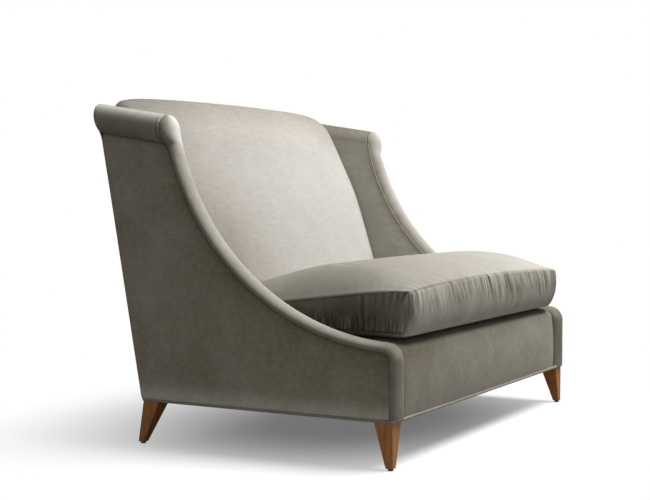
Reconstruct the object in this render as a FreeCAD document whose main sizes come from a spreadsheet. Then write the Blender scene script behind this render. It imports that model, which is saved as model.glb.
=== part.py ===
# A curved-back armchair: upholstered wooden frame, swept arms that roll outward at the wings,
# sprung seat deck and one loose box cushion. Lengths are in millimetres and angles in degrees.
# X runs across the chair, Y from front to back, Z up from the floor. Left is the -X side.
import FreeCAD
import Part
import Sketcher
import math
import os
from FreeCAD import Placement, Rotation, Vector

doc = FreeCAD.newDocument("curved_back_armchair")
sheet = doc.addObject("Spreadsheet::Sheet", "Sizes")
doc.recompute()

SIZES = [
    # Body
    ("body_width", 1214, "outside of one arm to outside of the other"),
    ("base_depth", 733, "front to back along the bottom edge"),
    ("front_offset", 427, "bottom front edge ahead of the origin"),
    ("base_height", 114, "floor to the bottom of the frame"),
    ("back_rake", 10.65, "lean of the outside back from upright"),
    ("seam_gap", 0.3, "clearance between pieces sewn or nailed side by side"),
    # Arms, from the outside inward
    ("outside_cover", 8, "padded cover on the outside of an arm"),
    ("frame_stock", 38, "width of the side frame timbers"),
    ("inside_cover", 12, "padded cover on the inside of an arm"),
    ("arm_front_height", 282, "lowest point of the arm's hollow front edge above the floor"),
    ("sweep_forward", 6, "centre of the sweep ahead of the bottom front edge"),
    ("sweep_over", 139, "centre of the sweep above the front end of the roll's axis"),
    ("nose_radius", 14, "small round where the sweep turns down the front"),
    ("facing_setback", 16, "back of the facing behind the bottom front edge"),
    ("facing_depth", 22, "how far the facing band stands out"),
    ("arm_rail_depth", 44, "depth of the swept arm rail"),
    ("stump_depth", 60, "front to back size of the front stump"),
    # Rolls on top of the wings
    ("roll_radius", 40, "outside of a roll"),
    ("roll_cover", 4.5, "cover round the roll"),
    ("roll_core", 24, "radius of the wooden core"),
    ("core_inset", 16, "front end of the core behind the front end of its roll"),
    ("roll_tilt", 9, "rise of the roll toward the back"),
    ("roll_ahead", 15.7, "front end of the roll ahead of the sweep at that height"),
    ("roll_fall", 100, "front end of the roll's axis below the crest"),
    ("head_radius", 41, "round head that closes the front of a roll"),
    ("head_rim", 10, "straight rim of the head"),
    # Frame
    ("rail_stock", 28, "thickness of the cross rails"),
    ("side_rail_height", 100, "height of a side rail"),
    ("seat_rail_height", 136, "height of the front and back seat rails"),
    ("post_depth", 60, "front to back size of a back post"),
    ("lower_rail_rise", 24, "lower back rail above the seat deck"),
    ("lower_rail_height", 60, "height of the lower back rail"),
    ("top_rail_fall", 76, "top of the top back rail below the crest"),
    ("top_rail_height", 84, "height of the top back rail"),
    ("block_leg", 90, "leg of a corner block triangle"),
    ("block_height", 45, "height of a corner block"),
    ("dowel_radius", 5, "frame dowels"),
    ("dowel_depth", 24, "how far a dowel reaches into each timber"),
    ("dowel_gap", 0.1, "clearance round a dowel"),
    ("low_dowel_spread", 14, "dowels above and below the middle of the lower back rail"),
    ("top_dowel_spread", 12, "dowels above and below a third of the top back rail"),
    ("hole_spare", 1, "hole deeper than what goes into it"),
    ("screw_radius", 2.4, "corner block screws"),
    ("screw_length", 44, "length of a corner block screw"),
    # Legs
    ("leg_top", 50, "square top of a leg"),
    ("leg_foot", 19, "square bottom of a leg"),
    ("leg_splay", 17, "how far a rear leg kicks back"),
    ("leg_round", 1.6, "round on the long edges of a leg"),
    ("bolt_radius", 4, "hanger bolt"),
    ("bolt_reach", 38, "hanger bolt into the leg and into the rail"),
    ("bolt_gap", 0.1, "clearance round a bolt"),
    ("bolt_offset", 3, "hanger bolt inward of the middle of the leg's top"),
    ("insert_radius", 6.5, "insert nut"),
    ("insert_height", 13, "height of an insert nut"),
    ("glide_radius", 7, "glide under a leg"),
    ("glide_height", 5, "height of a glide"),
    ("glide_pin", 2, "radius of the glide's pin"),
    ("glide_pin_length", 14, "length of the glide's pin"),
    # Seat suspension
    ("spring_count", 9, "sinuous springs across the seat"),
    ("spring_margin", 52, "outermost spring to the inside of an arm"),
    ("spring_width", 50, "width of a spring"),
    ("spring_rung", 24, "distance from rung to rung"),
    ("spring_wire", 1.9, "radius of the spring wire"),
    ("clip_sheet", 1.5, "metal of a spring clip"),
    ("clip_width", 22, "clip along the rail"),
    ("clip_length", 15, "clip across the rail"),
    ("burlap", 1.5, "burlap over the springs"),
    ("deck_cloth", 2, "cloth on the seat deck"),
    ("deck_height", 306, "top of the seat deck above the floor"),
    ("dust_cover", 1, "cloth under the frame"),
    ("dust_margin", 4, "edge of the dust cover inside the frame"),
    ("dust_notch", 2, "gap between the dust cover and a leg"),
    # Back
    ("back_cover", 5, "cover of the inside back"),
    ("outside_back", 6, "padded cover of the outside back"),
    ("back_lean", 17.6, "lean of the inside back from upright"),
    ("back_thick", 149, "foot of the inside back ahead of the bottom rear edge"),
    ("back_swell", 12, "how far the middle of the inside back swells forward"),
    ("crest_height", 925, "top of the back above the floor"),
    ("crest_drop", 27, "how far the crest falls at the wings"),
    ("crest_round", 116, "height of the rounded part of the crest"),
    ("crest_lip", 2, "crest's rear turn inside the outside back"),
    ("outside_back_rise", 20, "top of the outside back above the roll's axis"),
    ("strap_count", 7, "webbing straps in the back"),
    ("strap_margin", 100, "outermost strap to the inside of an arm"),
    ("strap_tack", 5, "end of a strap short of the rail's edge"),
    ("strap_width", 58, "width of a strap"),
    ("strap_sheet", 2.5, "thickness of a strap"),
    # Front border
    ("front_cover", 4, "cover of the front border"),
    ("front_swell", 12, "how far the border swells past the bottom front edge"),
    ("front_drop", 4, "top of the border below the deck"),
    ("border_foot", 3, "foot of the border behind the bottom front edge"),
    ("border_nose", 9, "shoulder of the border behind the bottom front edge"),
    ("border_shoulder", 26, "shoulder of the border below its top"),
    ("border_land", 18, "start of the border's flat top behind the facing's back"),
    ("border_turn", 17, "middle of the shoulder's round behind the bottom front edge"),
    ("border_turn_fall", 7, "middle of the shoulder's round below the border's top"),
    ("border_tuck", 10, "how far the border's top falls at its ends"),
    ("welt_radius", 4, "welt round the bottom edge"),
    ("welt_corner", 12, "round of the welt at the corners"),
    # Cushion
    ("cushion_side_gap", 19, "gap between the cushion and an inside arm"),
    ("cushion_seam", 427, "front top seam above the floor"),
    ("cushion_crown", 53, "rise of the middle above the front seam"),
    ("cushion_overhang", 8, "front top seam ahead of the bottom front edge"),
    ("cushion_nose", 19, "swell of the cushion's front past its top seam"),
    ("cushion_back_gap", 6, "gap between cushion and the swell of the inside back"),
    ("cushion_tuck", 12, "how far the sides are drawn in at the ends"),
    ("cushion_toe", 6, "front edge of the underside behind the front seam"),
    ("cushion_cover", 4, "cover of the cushion"),
    ("zip_margin", 110, "end of the zip to the cushion's side"),
    ("zip_tape", 24, "width of the zip tape"),
    ("zip_sheet", 1.2, "thickness of the zip tape"),
    ("zip_teeth", 5, "width of the row of teeth"),
    ("zip_bead", 2, "height of the row of teeth"),
    ("slider_length", 12, "zip slider along the zip"),
    ("slider_height", 10, "zip slider across the zip"),
    ("slider_wall", 1, "metal over the teeth inside the slider"),
    ("slider_stop", 4, "closed slider short of the zip's end"),
]
for row, (alias, value, meaning) in enumerate(SIZES, 1):
    sheet.set(f"A{row}", alias)
    sheet.set(f"B{row}", str(value))
    sheet.set(f"C{row}", meaning)
    sheet.setAlias(f"B{row}", alias)
doc.recompute()

nodes = {}


def number(text):
    """Today's value of a size expression."""
    return float(sheet.evalExpression(text))


def bind(item, **links):
    """Tie properties of an item to size expressions; Base_y stands for Placement.Base.y."""
    for name, text in links.items():
        if name.startswith("Base_"):
            name = "Placement.Base." + name[-1]
        item.setExpression(name, text)
    return item


def keep(name, item):
    """Make an item one of the sub-parts that are written out."""
    item.Label = name
    nodes[name] = item
    return item


# Lines and levels that several pieces share, as size expressions
HALF = "Sizes.body_width / 2"
FRONT = "(0 - Sizes.front_offset)"
FACING = f"({FRONT} + Sizes.facing_setback)"
BASE = "Sizes.base_height"
FRAME_OUT = f"({HALF} - Sizes.outside_cover)"
FRAME_IN = f"({HALF} - Sizes.outside_cover - Sizes.frame_stock)"
INNER = f"({HALF} - Sizes.outside_cover - Sizes.frame_stock - Sizes.inside_cover)"
BETWEEN = f"({INNER} - Sizes.seam_gap)"
ROLL_X = f"({INNER} + Sizes.roll_radius)"
ROLL_Z = "(Sizes.crest_height - Sizes.roll_fall)"
CENTER_Y = f"({FRONT} - Sizes.sweep_forward)"
CENTER_Z = f"({ROLL_Z} + Sizes.sweep_over)"
SWEEP = f"({CENTER_Z} - Sizes.arm_front_height)"
ROLL_Y = f"({CENTER_Y} + sqrt({SWEEP} * {SWEEP} - Sizes.sweep_over * Sizes.sweep_over) - Sizes.roll_ahead)"
RAKE = "(Sizes.back_rake * 1 deg)"
TILT = "(Sizes.roll_tilt * 1 deg)"
LEAN = "(Sizes.back_lean * 1 deg)"
SIDE_TOP = "(Sizes.base_height + Sizes.side_rail_height)"
SEAT_TOP = "(Sizes.base_height + Sizes.seat_rail_height)"
FLUSH = "(Sizes.outside_back + Sizes.seam_gap)"
WELT_ROOM = "(2 * Sizes.welt_radius + Sizes.seam_gap)"
WELT_TURN = "(Sizes.welt_radius + Sizes.welt_corner)"
POST_FRONT = f"({FLUSH} + Sizes.post_depth)"
RAIL_FRONT = f"({FLUSH} + Sizes.rail_stock)"
STRAP_FRONT = f"({RAIL_FRONT} + Sizes.strap_sheet)"
COVER_FOOT = "(Sizes.base_height + 2 * Sizes.welt_radius + Sizes.seam_gap)"
LOWER_RAIL_BOTTOM = "(Sizes.deck_height + Sizes.lower_rail_rise)"
TOP_RAIL_TOP = "(Sizes.crest_height - Sizes.top_rail_fall)"
TOP_RAIL_BOTTOM = f"({TOP_RAIL_TOP} - Sizes.top_rail_height)"
CUSHION_HALF = f"({INNER} - Sizes.cushion_side_gap)"


def rear(level, inset="0"):
    """Y of the raked outside back at a level, less an inset toward the front."""
    return f"({FRONT} + Sizes.base_depth + ({level} - {BASE}) * tan({RAKE}) - ({inset}))"


def seat_back(level, inset="0"):
    """Y of the inside back's face at a level, moved back by an inset."""
    foot = f"{FRONT} + Sizes.base_depth - Sizes.back_thick"
    return f"({foot} + ({level} - Sizes.deck_height) * tan({LEAN}) + ({inset}))"


def minus(text):
    return f"(0 - {text})"


# Ways of making a piece
def start_body(name):
    return doc.addObject("PartDesign::Body", name)


def start_sketch(body, role, offset="0"):
    """A sketch on one of the body's own planes, moved along the plane's normal."""
    plane = [item for item in body.Origin.OriginFeatures if item.Role == role][0]
    sketch = body.newObject("Sketcher::SketchObject", body.Name + "_outline")
    sketch.AttachmentSupport = [(plane, "")]
    sketch.MapMode = "FlatFace"
    sketch.setExpression("AttachmentOffset.Base.z", offset)
    return sketch


def drive(sketch, kind, target, text):
    """Add a constraint whose value follows a size expression."""
    value = number(text)
    if kind == "Angle":
        value = math.radians(value)
        text = f"({text}) * 1 deg"
    index = sketch.addConstraint(Sketcher.Constraint(kind, *target, value))
    sketch.setExpression(f"Constraints[{index}]", text)


def pin(sketch, geometry, point, across, up):
    """Hold a point of the sketch at two size expressions."""
    drive(sketch, "DistanceX", (-1, 1, geometry, point), across)
    drive(sketch, "DistanceY", (-1, 1, geometry, point), up)


def draw(sketch, corners):
    """Closed outline. A corner is (across, up), or (across, up, via across, via up) to arrive by an arc."""
    spots = [Vector(number(corner[0]), number(corner[1]), 0) for corner in corners]
    shapes = []
    for index, corner in enumerate(corners):
        begin, end = spots[index - 1], spots[index]
        if len(corner) == 2:
            shapes.append((sketch.addGeometry(Part.LineSegment(begin, end)), 1, 2))
            continue
        middle = Vector(number(corner[2]), number(corner[3]), 0)
        arc = Part.ArcOfCircle(begin, middle, end)
        line = sketch.addGeometry(arc)
        forward = sketch.getPoint(line, 1).distanceToPoint(begin) < 1e-6
        shapes.append((line, 1, 2) if forward else (line, 2, 1))
        mark = sketch.addGeometry(Part.Point(middle), True)
        pin(sketch, mark, 1, corner[2], corner[3])
        sketch.addConstraint(Sketcher.Constraint("PointOnObject", mark, 1, line))
    for index, corner in enumerate(corners):
        line, first, last = shapes[index]
        following = shapes[(index + 1) % len(shapes)]
        sketch.addConstraint(Sketcher.Constraint("Coincident", line, last, following[0], following[1]))
        pin(sketch, line, last, corner[0], corner[1])
    return sketch


def extrude(name, role, low, high, corners):
    """A body padded from one outline, between two levels along the plane's normal."""
    body = start_body(name)
    sketch = draw(start_sketch(body, role, low), corners)
    pad = body.newObject("PartDesign::Pad", name + "_pad")
    pad.Profile = sketch
    pad.setExpression("Length", f"{high} - ({low})")
    return body


def loft(name, role, sections, flat=False):
    """A body lofted through outlines, smoothly or with flat faces; a section is (offset, corners)."""
    body = start_body(name)
    sketches = [draw(start_sketch(body, role, offset), corners) for offset, corners in sections]
    skin = body.newObject("PartDesign::AdditiveLoft", name + "_skin")
    skin.Profile = sketches[0]
    skin.Sections = sketches[1:]
    skin.Ruled = flat
    return body


def walk_back(corners):
    """The same open chain of corners, walked from its end to its start."""
    walked = []
    for index in reversed(range(len(corners))):
        via = corners[index + 1][2:] if index + 1 < len(corners) else ()
        walked.append(corners[index][:2] + via)
    return walked


def block(name, x, y, z):
    """A plain box from pairs of low and high size expressions."""
    box = doc.addObject("Part::Box", name)
    return bind(
        box, Length=f"{x[1]} - ({x[0]})", Width=f"{y[1]} - ({y[0]})", Height=f"{z[1]} - ({z[0]})",
        Base_x=x[0], Base_y=y[0], Base_z=z[0],
    )


def rod(name, at, radius, length, along="Z"):
    """A round bar from a point along X, Y or Z."""
    bar = doc.addObject("Part::Cylinder", name)
    turns = {"X": Rotation(Vector(0, 1, 0), 90), "Y": Rotation(Vector(1, 0, 0), -90), "Z": Rotation()}
    bar.Placement = Placement(Vector(), turns[along])
    return bind(bar, Radius=radius, Height=length, Base_x=at[0], Base_y=at[1], Base_z=at[2])


def mirror(name, item):
    """The same piece on the other side of the chair."""
    other = doc.addObject("Part::Mirroring", name)
    other.Source = item
    other.Normal = Vector(1, 0, 0)
    return other


def gather(name, items):
    """Several separate solids as one item."""
    together = doc.addObject("Part::Compound", name)
    together.Links = items
    return together


def carve(name, item, tool):
    cut = doc.addObject("Part::Cut", name)
    cut.Base = item
    cut.Tool = tool
    return cut


def both_sides(name, item):
    """Keep a left piece and its mirror image on the right."""
    keep("left_" + name, item)
    keep("right_" + name, mirror("right_" + name, item))


# The arm's side outline: hollow sweep, small nose, straight front, raked rear and tilted top.
def sweep_numbers(ease):
    """Where the sweep, the nose and the front meet, to start the sketch near its solution."""
    center = Vector(number(CENTER_Y), number(CENTER_Z), 0)
    radius = number(SWEEP) - ease
    nose = number("Sizes.nose_radius") + ease
    across = number(FACING) - ease + nose
    reach = math.sqrt((radius + nose) ** 2 - (across - center.x) ** 2)
    nose_center = Vector(across, center.y - reach, 0)
    meet = center + (nose_center - center) * (radius / (radius + nose))
    return center, radius, nose_center, nose, meet


def draw_front_edge(sketch, ease, foot, top):
    """Front line, nose and sweep, eased forward by a gap; returns the three geometry numbers."""
    center, radius, nose_center, nose, meet = sweep_numbers(number(ease))
    up = Vector(0, 0, 1)
    front_x = nose_center.x - nose
    line = Part.LineSegment(Vector(front_x, nose_center.y, 0), Vector(front_x, foot, 0))
    front = sketch.addGeometry(line)
    low = math.atan2(meet.y - center.y, meet.x - center.x)
    high = math.asin((top - center.y) / radius)
    sweep = sketch.addGeometry(Part.ArcOfCircle(Part.Circle(center, up, radius), low, high))
    lean = math.atan2(meet.y - nose_center.y, meet.x - nose_center.x)
    turn = sketch.addGeometry(Part.ArcOfCircle(Part.Circle(nose_center, up, nose), lean, math.pi))
    sketch.addConstraint(Sketcher.Constraint("Tangent", sweep, 1, turn, 1))
    sketch.addConstraint(Sketcher.Constraint("Tangent", turn, 2, front, 1))
    sketch.addConstraint(Sketcher.Constraint("Vertical", front))
    drive(sketch, "Radius", (sweep,), f"{SWEEP} - {ease}")
    drive(sketch, "Radius", (turn,), f"Sizes.nose_radius + {ease}")
    pin(sketch, sweep, 3, CENTER_Y, CENTER_Z)
    drive(sketch, "DistanceX", (-1, 1, front, 1), f"{FACING} - {ease}")
    return front, turn, sweep


def side_panel(name, low, high, foot, inset, drop):
    """A flat layer of the arm between two X levels, under the roll by a drop from its axis."""
    body = start_body(name)
    sketch = start_sketch(body, "YZ_Plane", low)
    under = f"{ROLL_Z} - ({drop}) / cos({TILT})"
    front, turn, sweep = draw_front_edge(sketch, "0", number(foot), number(under))
    corner = sketch.getPoint(sweep, 2)
    heel = Vector(number(rear(foot, inset)), number(foot), 0)
    tilt = math.tan(math.radians(number("Sizes.roll_tilt")))
    rake = math.tan(math.radians(number("Sizes.back_rake")))
    rise = (corner.y - heel.y + (heel.x - corner.x) * tilt) / (1 - rake * tilt)
    peak = Vector(heel.x + rise * rake, heel.y + rise, 0)
    toe = sketch.getPoint(front, 2)
    bottom = sketch.addGeometry(Part.LineSegment(toe, heel))
    back = sketch.addGeometry(Part.LineSegment(heel, peak))
    top = sketch.addGeometry(Part.LineSegment(corner, peak))
    for ends in ((front, 2, bottom, 1), (bottom, 2, back, 1), (back, 2, top, 2), (top, 1, sweep, 2)):
        sketch.addConstraint(Sketcher.Constraint("Coincident", *ends))
    sketch.addConstraint(Sketcher.Constraint("Horizontal", bottom))
    pin(sketch, bottom, 2, rear(foot, inset), foot)
    drive(sketch, "Angle", (back,), "90 - Sizes.back_rake")
    drive(sketch, "Angle", (top,), "Sizes.roll_tilt")
    mark = sketch.addGeometry(Part.Point(Vector(number(ROLL_Y), number(under), 0)), True)
    pin(sketch, mark, 1, ROLL_Y, under)
    sketch.addConstraint(Sketcher.Constraint("PointOnObject", mark, 1, top))
    pad = body.newObject("PartDesign::Pad", name + "_pad")
    pad.Profile = sketch
    pad.setExpression("Length", f"{high} - ({low})")
    return body


# Rolls: a wooden core, a pad round it and the cover, cut off along the raked back.
def on_roll_axis(item, turn, along="0", out="0", drop="0"):
    """Stand an item on the left roll's axis, some way along it, and turn it to the roll's tilt."""
    item.Placement = Placement(Vector(), Rotation(Vector(1, 0, 0), number(f"Sizes.roll_tilt + {turn}")))
    return bind(
        item,
        Base_x=f"0 - {ROLL_X} + ({out})",
        Base_y=f"{ROLL_Y} + ({along}) * cos({TILT}) + ({drop}) * sin({TILT})",
        Base_z=f"{ROLL_Z} + ({along}) * sin({TILT}) - ({drop}) * cos({TILT})",
        **{"Placement.Rotation.Angle": f"Sizes.roll_tilt + {turn}"},
    )


ROLL_RUN = f"(({rear(ROLL_Z)} - {ROLL_Y}) / (cos({TILT}) - sin({TILT}) * tan({RAKE})))"
LONG = f"({ROLL_RUN} + 3 * Sizes.roll_radius)"
behind = doc.addObject("Part::Box", "behind_the_back")
behind.Placement = Placement(Vector(), Rotation(Vector(1, 0, 0), -number("Sizes.back_rake")))
bind(
    behind, Length="Sizes.body_width * 2", Width="Sizes.base_depth", Height="Sizes.crest_height * 2",
    Base_x="0 - Sizes.body_width", Base_y=rear(BASE, FLUSH), Base_z=BASE,
    **{"Placement.Rotation.Angle": "0 - Sizes.back_rake"},
)


def roll_bar(name, radius, along="0"):
    """A solid bar on the left roll's axis, longer than the roll."""
    bar = doc.addObject("Part::Cylinder", name)
    bind(bar, Radius=radius, Height=f"{LONG} - ({along})")
    return on_roll_axis(bar, "(0 - 90)", along)


wing_room = doc.addObject("Part::Box", "wing_room")
bind(wing_room, Length="4 * Sizes.roll_radius", Width=LONG, Height="2 * Sizes.roll_radius")
on_roll_axis(
    wing_room, "0", "0", f"{ROLL_X} - {FRAME_OUT} - Sizes.seam_gap", "2 * Sizes.roll_radius"
)
core_bar = roll_bar("left_roll_core_bar", "Sizes.roll_core", "Sizes.core_inset")
core = carve("left_roll_core_trim", core_bar, behind)
both_sides("roll_core", core)
PAD_OUT = "(Sizes.roll_radius - Sizes.roll_cover)"
layers = [
    ("roll_pad", PAD_OUT, "Sizes.roll_core + Sizes.seam_gap"),
    ("roll", "Sizes.roll_radius", f"{PAD_OUT} + Sizes.seam_gap"),
]
for layer, outer, inner in layers:
    bar = roll_bar(f"left_{layer}_bar", outer, "Sizes.seam_gap")
    bore = roll_bar(f"left_{layer}_bore", inner)
    tube = carve(f"left_{layer}_tube", bar, gather(f"left_{layer}_waste", [bore, wing_room]))
    both_sides(layer, carve(f"left_{layer}_trim", tube, behind))

# Flat layers of the arms
both_sides("outside_arm", side_panel(
    "left_outside_arm", minus(HALF), minus(FRAME_OUT), COVER_FOOT, FLUSH, "Sizes.roll_radius"))
both_sides("inside_arm", side_panel(
    "left_inside_arm", minus(FRAME_IN), minus(INNER), f"({SEAT_TOP} + Sizes.seam_gap)",
    f"{POST_FRONT} + Sizes.seam_gap", "Sizes.seam_gap"))

# Facings: a half-round band from the base up the arm and the wing, closed by a round head
band = start_body("left_facing_band")
profile = draw(start_sketch(band, "XY_Plane", COVER_FOOT), [
    (minus(HALF), f"{FACING} - Sizes.seam_gap"),
    (minus(INNER), f"{FACING} - Sizes.seam_gap",
     f"0 - ({HALF} + {INNER}) / 2", f"{FACING} - Sizes.facing_depth"),
])
band_path = start_sketch(band, "YZ_Plane", f"0 - ({HALF} + {INNER}) / 2")
band_top = f"{ROLL_Z} - Sizes.roll_radius / 2"
front, turn, sweep = draw_front_edge(band_path, "Sizes.seam_gap", number(COVER_FOOT), number(band_top))
drive(band_path, "DistanceY", (-1, 1, front, 2), COVER_FOOT)
drive(band_path, "DistanceY", (-1, 1, sweep, 2), band_top)
pipe = band.newObject("PartDesign::AdditivePipe", "left_facing_sweep")
pipe.Profile = profile
pipe.Spine = band_path

head = start_body("left_facing_head")
dome = draw(start_sketch(head, "XZ_Plane"), [
    ("0", "0"),
    ("Sizes.head_radius", "0"),
    ("Sizes.head_radius", "Sizes.head_rim"),
    ("0", "Sizes.facing_depth", "Sizes.head_radius * 0.71", "Sizes.head_rim + Sizes.facing_depth * 0.45"),
])
spin = head.newObject("PartDesign::Revolution", "left_facing_dome")
spin.Profile = dome
spin.ReferenceAxis = (dome, ["V_Axis"])
spin.Angle = 360
on_roll_axis(head, "90")
joined = doc.addObject("Part::Fuse", "left_facing_joined")
joined.Base = band
joined.Tool = head
roll_end = roll_bar("left_roll_end", "Sizes.roll_radius + 6 * Sizes.seam_gap")
both_sides("facing", carve("left_facing_trim", joined, roll_end))

# Side frame: rails, stumps, swept arm rails and raked posts, doweled together
side_rail = extrude("left_side_rail_bar", "YZ_Plane", minus(FRAME_OUT), minus(FRAME_IN), [
    (FACING, BASE), (rear(BASE, WELT_TURN), BASE),
    (rear(SIDE_TOP, WELT_TURN), SIDE_TOP), (FACING, SIDE_TOP),
])
ARM_BOTTOM = f"({SWEEP} + Sizes.arm_rail_depth)"


def arm_underside(across):
    """Z of the swept arm rail's lower face at a Y."""
    ahead = f"({across} - {CENTER_Y})"
    return f"({CENTER_Z} - sqrt({ARM_BOTTOM} * {ARM_BOTTOM} - {ahead} * {ahead}))"


STUMP_BACK = f"({FACING} + Sizes.stump_depth)"
stump = extrude("left_stump_bar", "YZ_Plane", minus(FRAME_OUT), minus(FRAME_IN), [
    (FACING, SIDE_TOP), (STUMP_BACK, SIDE_TOP), (STUMP_BACK, arm_underside(STUMP_BACK)),
    (FACING, arm_underside(FACING), f"({FACING} + {STUMP_BACK}) / 2",
     arm_underside(f"({FACING} + {STUMP_BACK}) / 2")),
])
CORE_UNDER = "(Sizes.roll_core + Sizes.seam_gap)"
arm_blank = side_panel(
    "left_arm_rail_blank", minus(FRAME_OUT), minus(FRAME_IN), SIDE_TOP, FLUSH, CORE_UNDER)
sweep_waste = doc.addObject("Part::Cylinder", "left_sweep_waste")
sweep_waste.Placement = Placement(Vector(), Rotation(Vector(0, 1, 0), 90))
bind(
    sweep_waste, Radius=ARM_BOTTOM, Height="Sizes.body_width",
    Base_x="0 - Sizes.body_width", Base_y=CENTER_Y, Base_z=CENTER_Z,
)
arm_bar = doc.addObject("Part::Common", "left_arm_rail_bar")
arm_bar.Base = arm_blank
arm_bar.Tool = sweep_waste
# The post stops where its front face meets the underside of the roll core
CORE_LEVEL = f"({ROLL_Z} - {CORE_UNDER} / cos({TILT}) + ({rear('0', POST_FRONT)} - {ROLL_Y}) * tan({TILT}))"
TOP_LEVEL = f"({CORE_LEVEL} / (1 - tan({RAKE}) * tan({TILT})))"
post = extrude("left_post_bar", "YZ_Plane", minus(FRAME_OUT), minus(FRAME_IN), [
    (rear(SIDE_TOP, POST_FRONT), SIDE_TOP), (rear(SIDE_TOP, FLUSH), SIDE_TOP),
    (rear(TOP_LEVEL, FLUSH), TOP_LEVEL), (rear(TOP_LEVEL, POST_FRONT), TOP_LEVEL),
])
FRONT_INNER = f"({FACING} + Sizes.rail_stock)"
BACK_INNER = rear(BASE, f"{WELT_ROOM} + Sizes.rail_stock")
front_bar = block("front_rail_bar", (minus(FRAME_IN), FRAME_IN), (FACING, FRONT_INNER),
                  (BASE, SEAT_TOP))
back_bar = block("back_rail_bar", (minus(FRAME_IN), FRAME_IN),
                 (BACK_INNER, rear(BASE, WELT_ROOM)), (BASE, SEAT_TOP))


def raked_rail(name, bottom, height):
    """A cross rail between the posts, flush with the raked back."""
    top = f"({bottom} + {height})"
    return extrude(name, "YZ_Plane", minus(FRAME_IN), FRAME_IN, [
        (rear(bottom, RAIL_FRONT), bottom), (rear(bottom, FLUSH), bottom),
        (rear(top, FLUSH), top), (rear(top, RAIL_FRONT), top),
    ])


lower_bar = raked_rail("lower_rail_bar", LOWER_RAIL_BOTTOM, "Sizes.lower_rail_height")
top_bar = raked_rail("top_rail_bar", TOP_RAIL_BOTTOM, "Sizes.top_rail_height")

# Dowels: each starts one depth inside a timber and ends one depth inside its neighbour
RAIL_X = f"0 - {FRAME_IN} - Sizes.dowel_depth"
STOCK_X = f"0 - ({FRAME_OUT} + {FRAME_IN}) / 2"
SIDE_Z = f"{SIDE_TOP} - Sizes.dowel_depth"
FRONT_Y = f"{FACING} + Sizes.rail_stock / 2"
BACK_Y = rear(BASE, f"{WELT_ROOM} + Sizes.rail_stock / 2")
MIDRAIL = f"({FLUSH} + Sizes.rail_stock / 2)"
LOW_Z = f"({LOWER_RAIL_BOTTOM} + Sizes.lower_rail_height / 2)"
HIGH_Z = f"({TOP_RAIL_BOTTOM} + Sizes.top_rail_height / 3)"
LOW_DOWN, LOW_UP = [f"({LOW_Z} {sign} Sizes.low_dowel_spread)" for sign in "-+"]
HIGH_DOWN, HIGH_UP = [f"({HIGH_Z} {sign} Sizes.top_dowel_spread)" for sign in "-+"]
dowel_spots = [
    ("X", RAIL_X, FRONT_Y, f"{BASE} + Sizes.side_rail_height * 0.48"),
    ("X", RAIL_X, FRONT_Y, f"{BASE} + Sizes.side_rail_height * 0.66"),
    ("X", RAIL_X, BACK_Y, f"{BASE} + Sizes.side_rail_height * 0.48"),
    ("X", RAIL_X, BACK_Y, f"{BASE} + Sizes.side_rail_height * 0.66"),
    ("X", RAIL_X, rear(LOW_DOWN, MIDRAIL), LOW_DOWN),
    ("X", RAIL_X, rear(LOW_UP, MIDRAIL), LOW_UP),
    ("X", RAIL_X, rear(HIGH_DOWN, MIDRAIL), HIGH_DOWN),
    ("X", RAIL_X, rear(HIGH_UP, MIDRAIL), HIGH_UP),
    ("Z", STOCK_X, f"{FACING} + Sizes.stump_depth * 0.7", SIDE_Z),
    ("Z", STOCK_X, rear(SIDE_TOP, f"{FLUSH} + Sizes.post_depth * 0.5"), SIDE_Z),
]


def dowel_set(name, radius, ease):
    """All the dowels of the left side, or the slightly longer and wider holes for them."""
    bars = []
    for index, (along, x, y, z) in enumerate(dowel_spots):
        spot = [x, y, z]
        lane = "XYZ".index(along)
        spot[lane] = f"{spot[lane]} - ({ease})"
        bars.append(rod(f"{name}_{index}", spot, radius, f"2 * Sizes.dowel_depth + 2 * ({ease})", along))
    return gather(name, bars)


dowels = dowel_set("left_dowels", "Sizes.dowel_radius", "0")
keep("frame_dowels", gather("frame_dowels", [dowels, mirror("right_dowels", dowels)]))
holes = dowel_set("left_dowel_holes", "Sizes.dowel_radius + Sizes.dowel_gap", "10 * Sizes.dowel_gap")
all_holes = gather("dowel_holes", [holes, mirror("right_dowel_holes", holes)])

# Legs with hanger bolts, insert nuts and glides
LEG_FOOT = "Sizes.glide_height"
LEG_OUT = f"(0 - {HALF})"
BOLT_X = f"({LEG_OUT} + Sizes.leg_top / 2 + Sizes.bolt_offset)"
BOLT_FRONT = f"({FACING} + Sizes.leg_top / 2 - Sizes.facing_setback / 2)"
BOLT_BACK = rear(BASE, f"{FLUSH} + Sizes.leg_top / 2 - Sizes.bolt_offset")
REAR_EDGE = rear(BASE)
leg_plans = {
    "front_leg": (FRONT, f"({FRONT} + Sizes.leg_top)", FRONT, f"({FRONT} + Sizes.leg_foot)"),
    "rear_leg": (
        f"({REAR_EDGE} - Sizes.leg_top)", REAR_EDGE,
        f"({REAR_EDGE} + Sizes.leg_splay - Sizes.leg_foot)", f"({REAR_EDGE} + Sizes.leg_splay)",
    ),
}


def rounded_square(low_x, high_x, low_y, high_y, radius):
    """Corners of a rectangle with a small arc at each corner."""
    near = f"{radius} * 0.2929"
    return [
        (f"{low_x} + {radius}", low_y, f"{low_x} + {near}", f"{low_y} + {near}"),
        (f"{high_x} - {radius}", low_y),
        (high_x, f"{low_y} + {radius}", f"{high_x} - {near}", f"{low_y} + {near}"),
        (high_x, f"{high_y} - {radius}"),
        (f"{high_x} - {radius}", high_y, f"{high_x} - {near}", f"{high_y} - {near}"),
        (f"{low_x} + {radius}", high_y),
        (low_x, f"{high_y} - {radius}", f"{low_x} + {near}", f"{high_y} - {near}"),
        (low_x, f"{low_y} + {radius}"),
    ]


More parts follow.
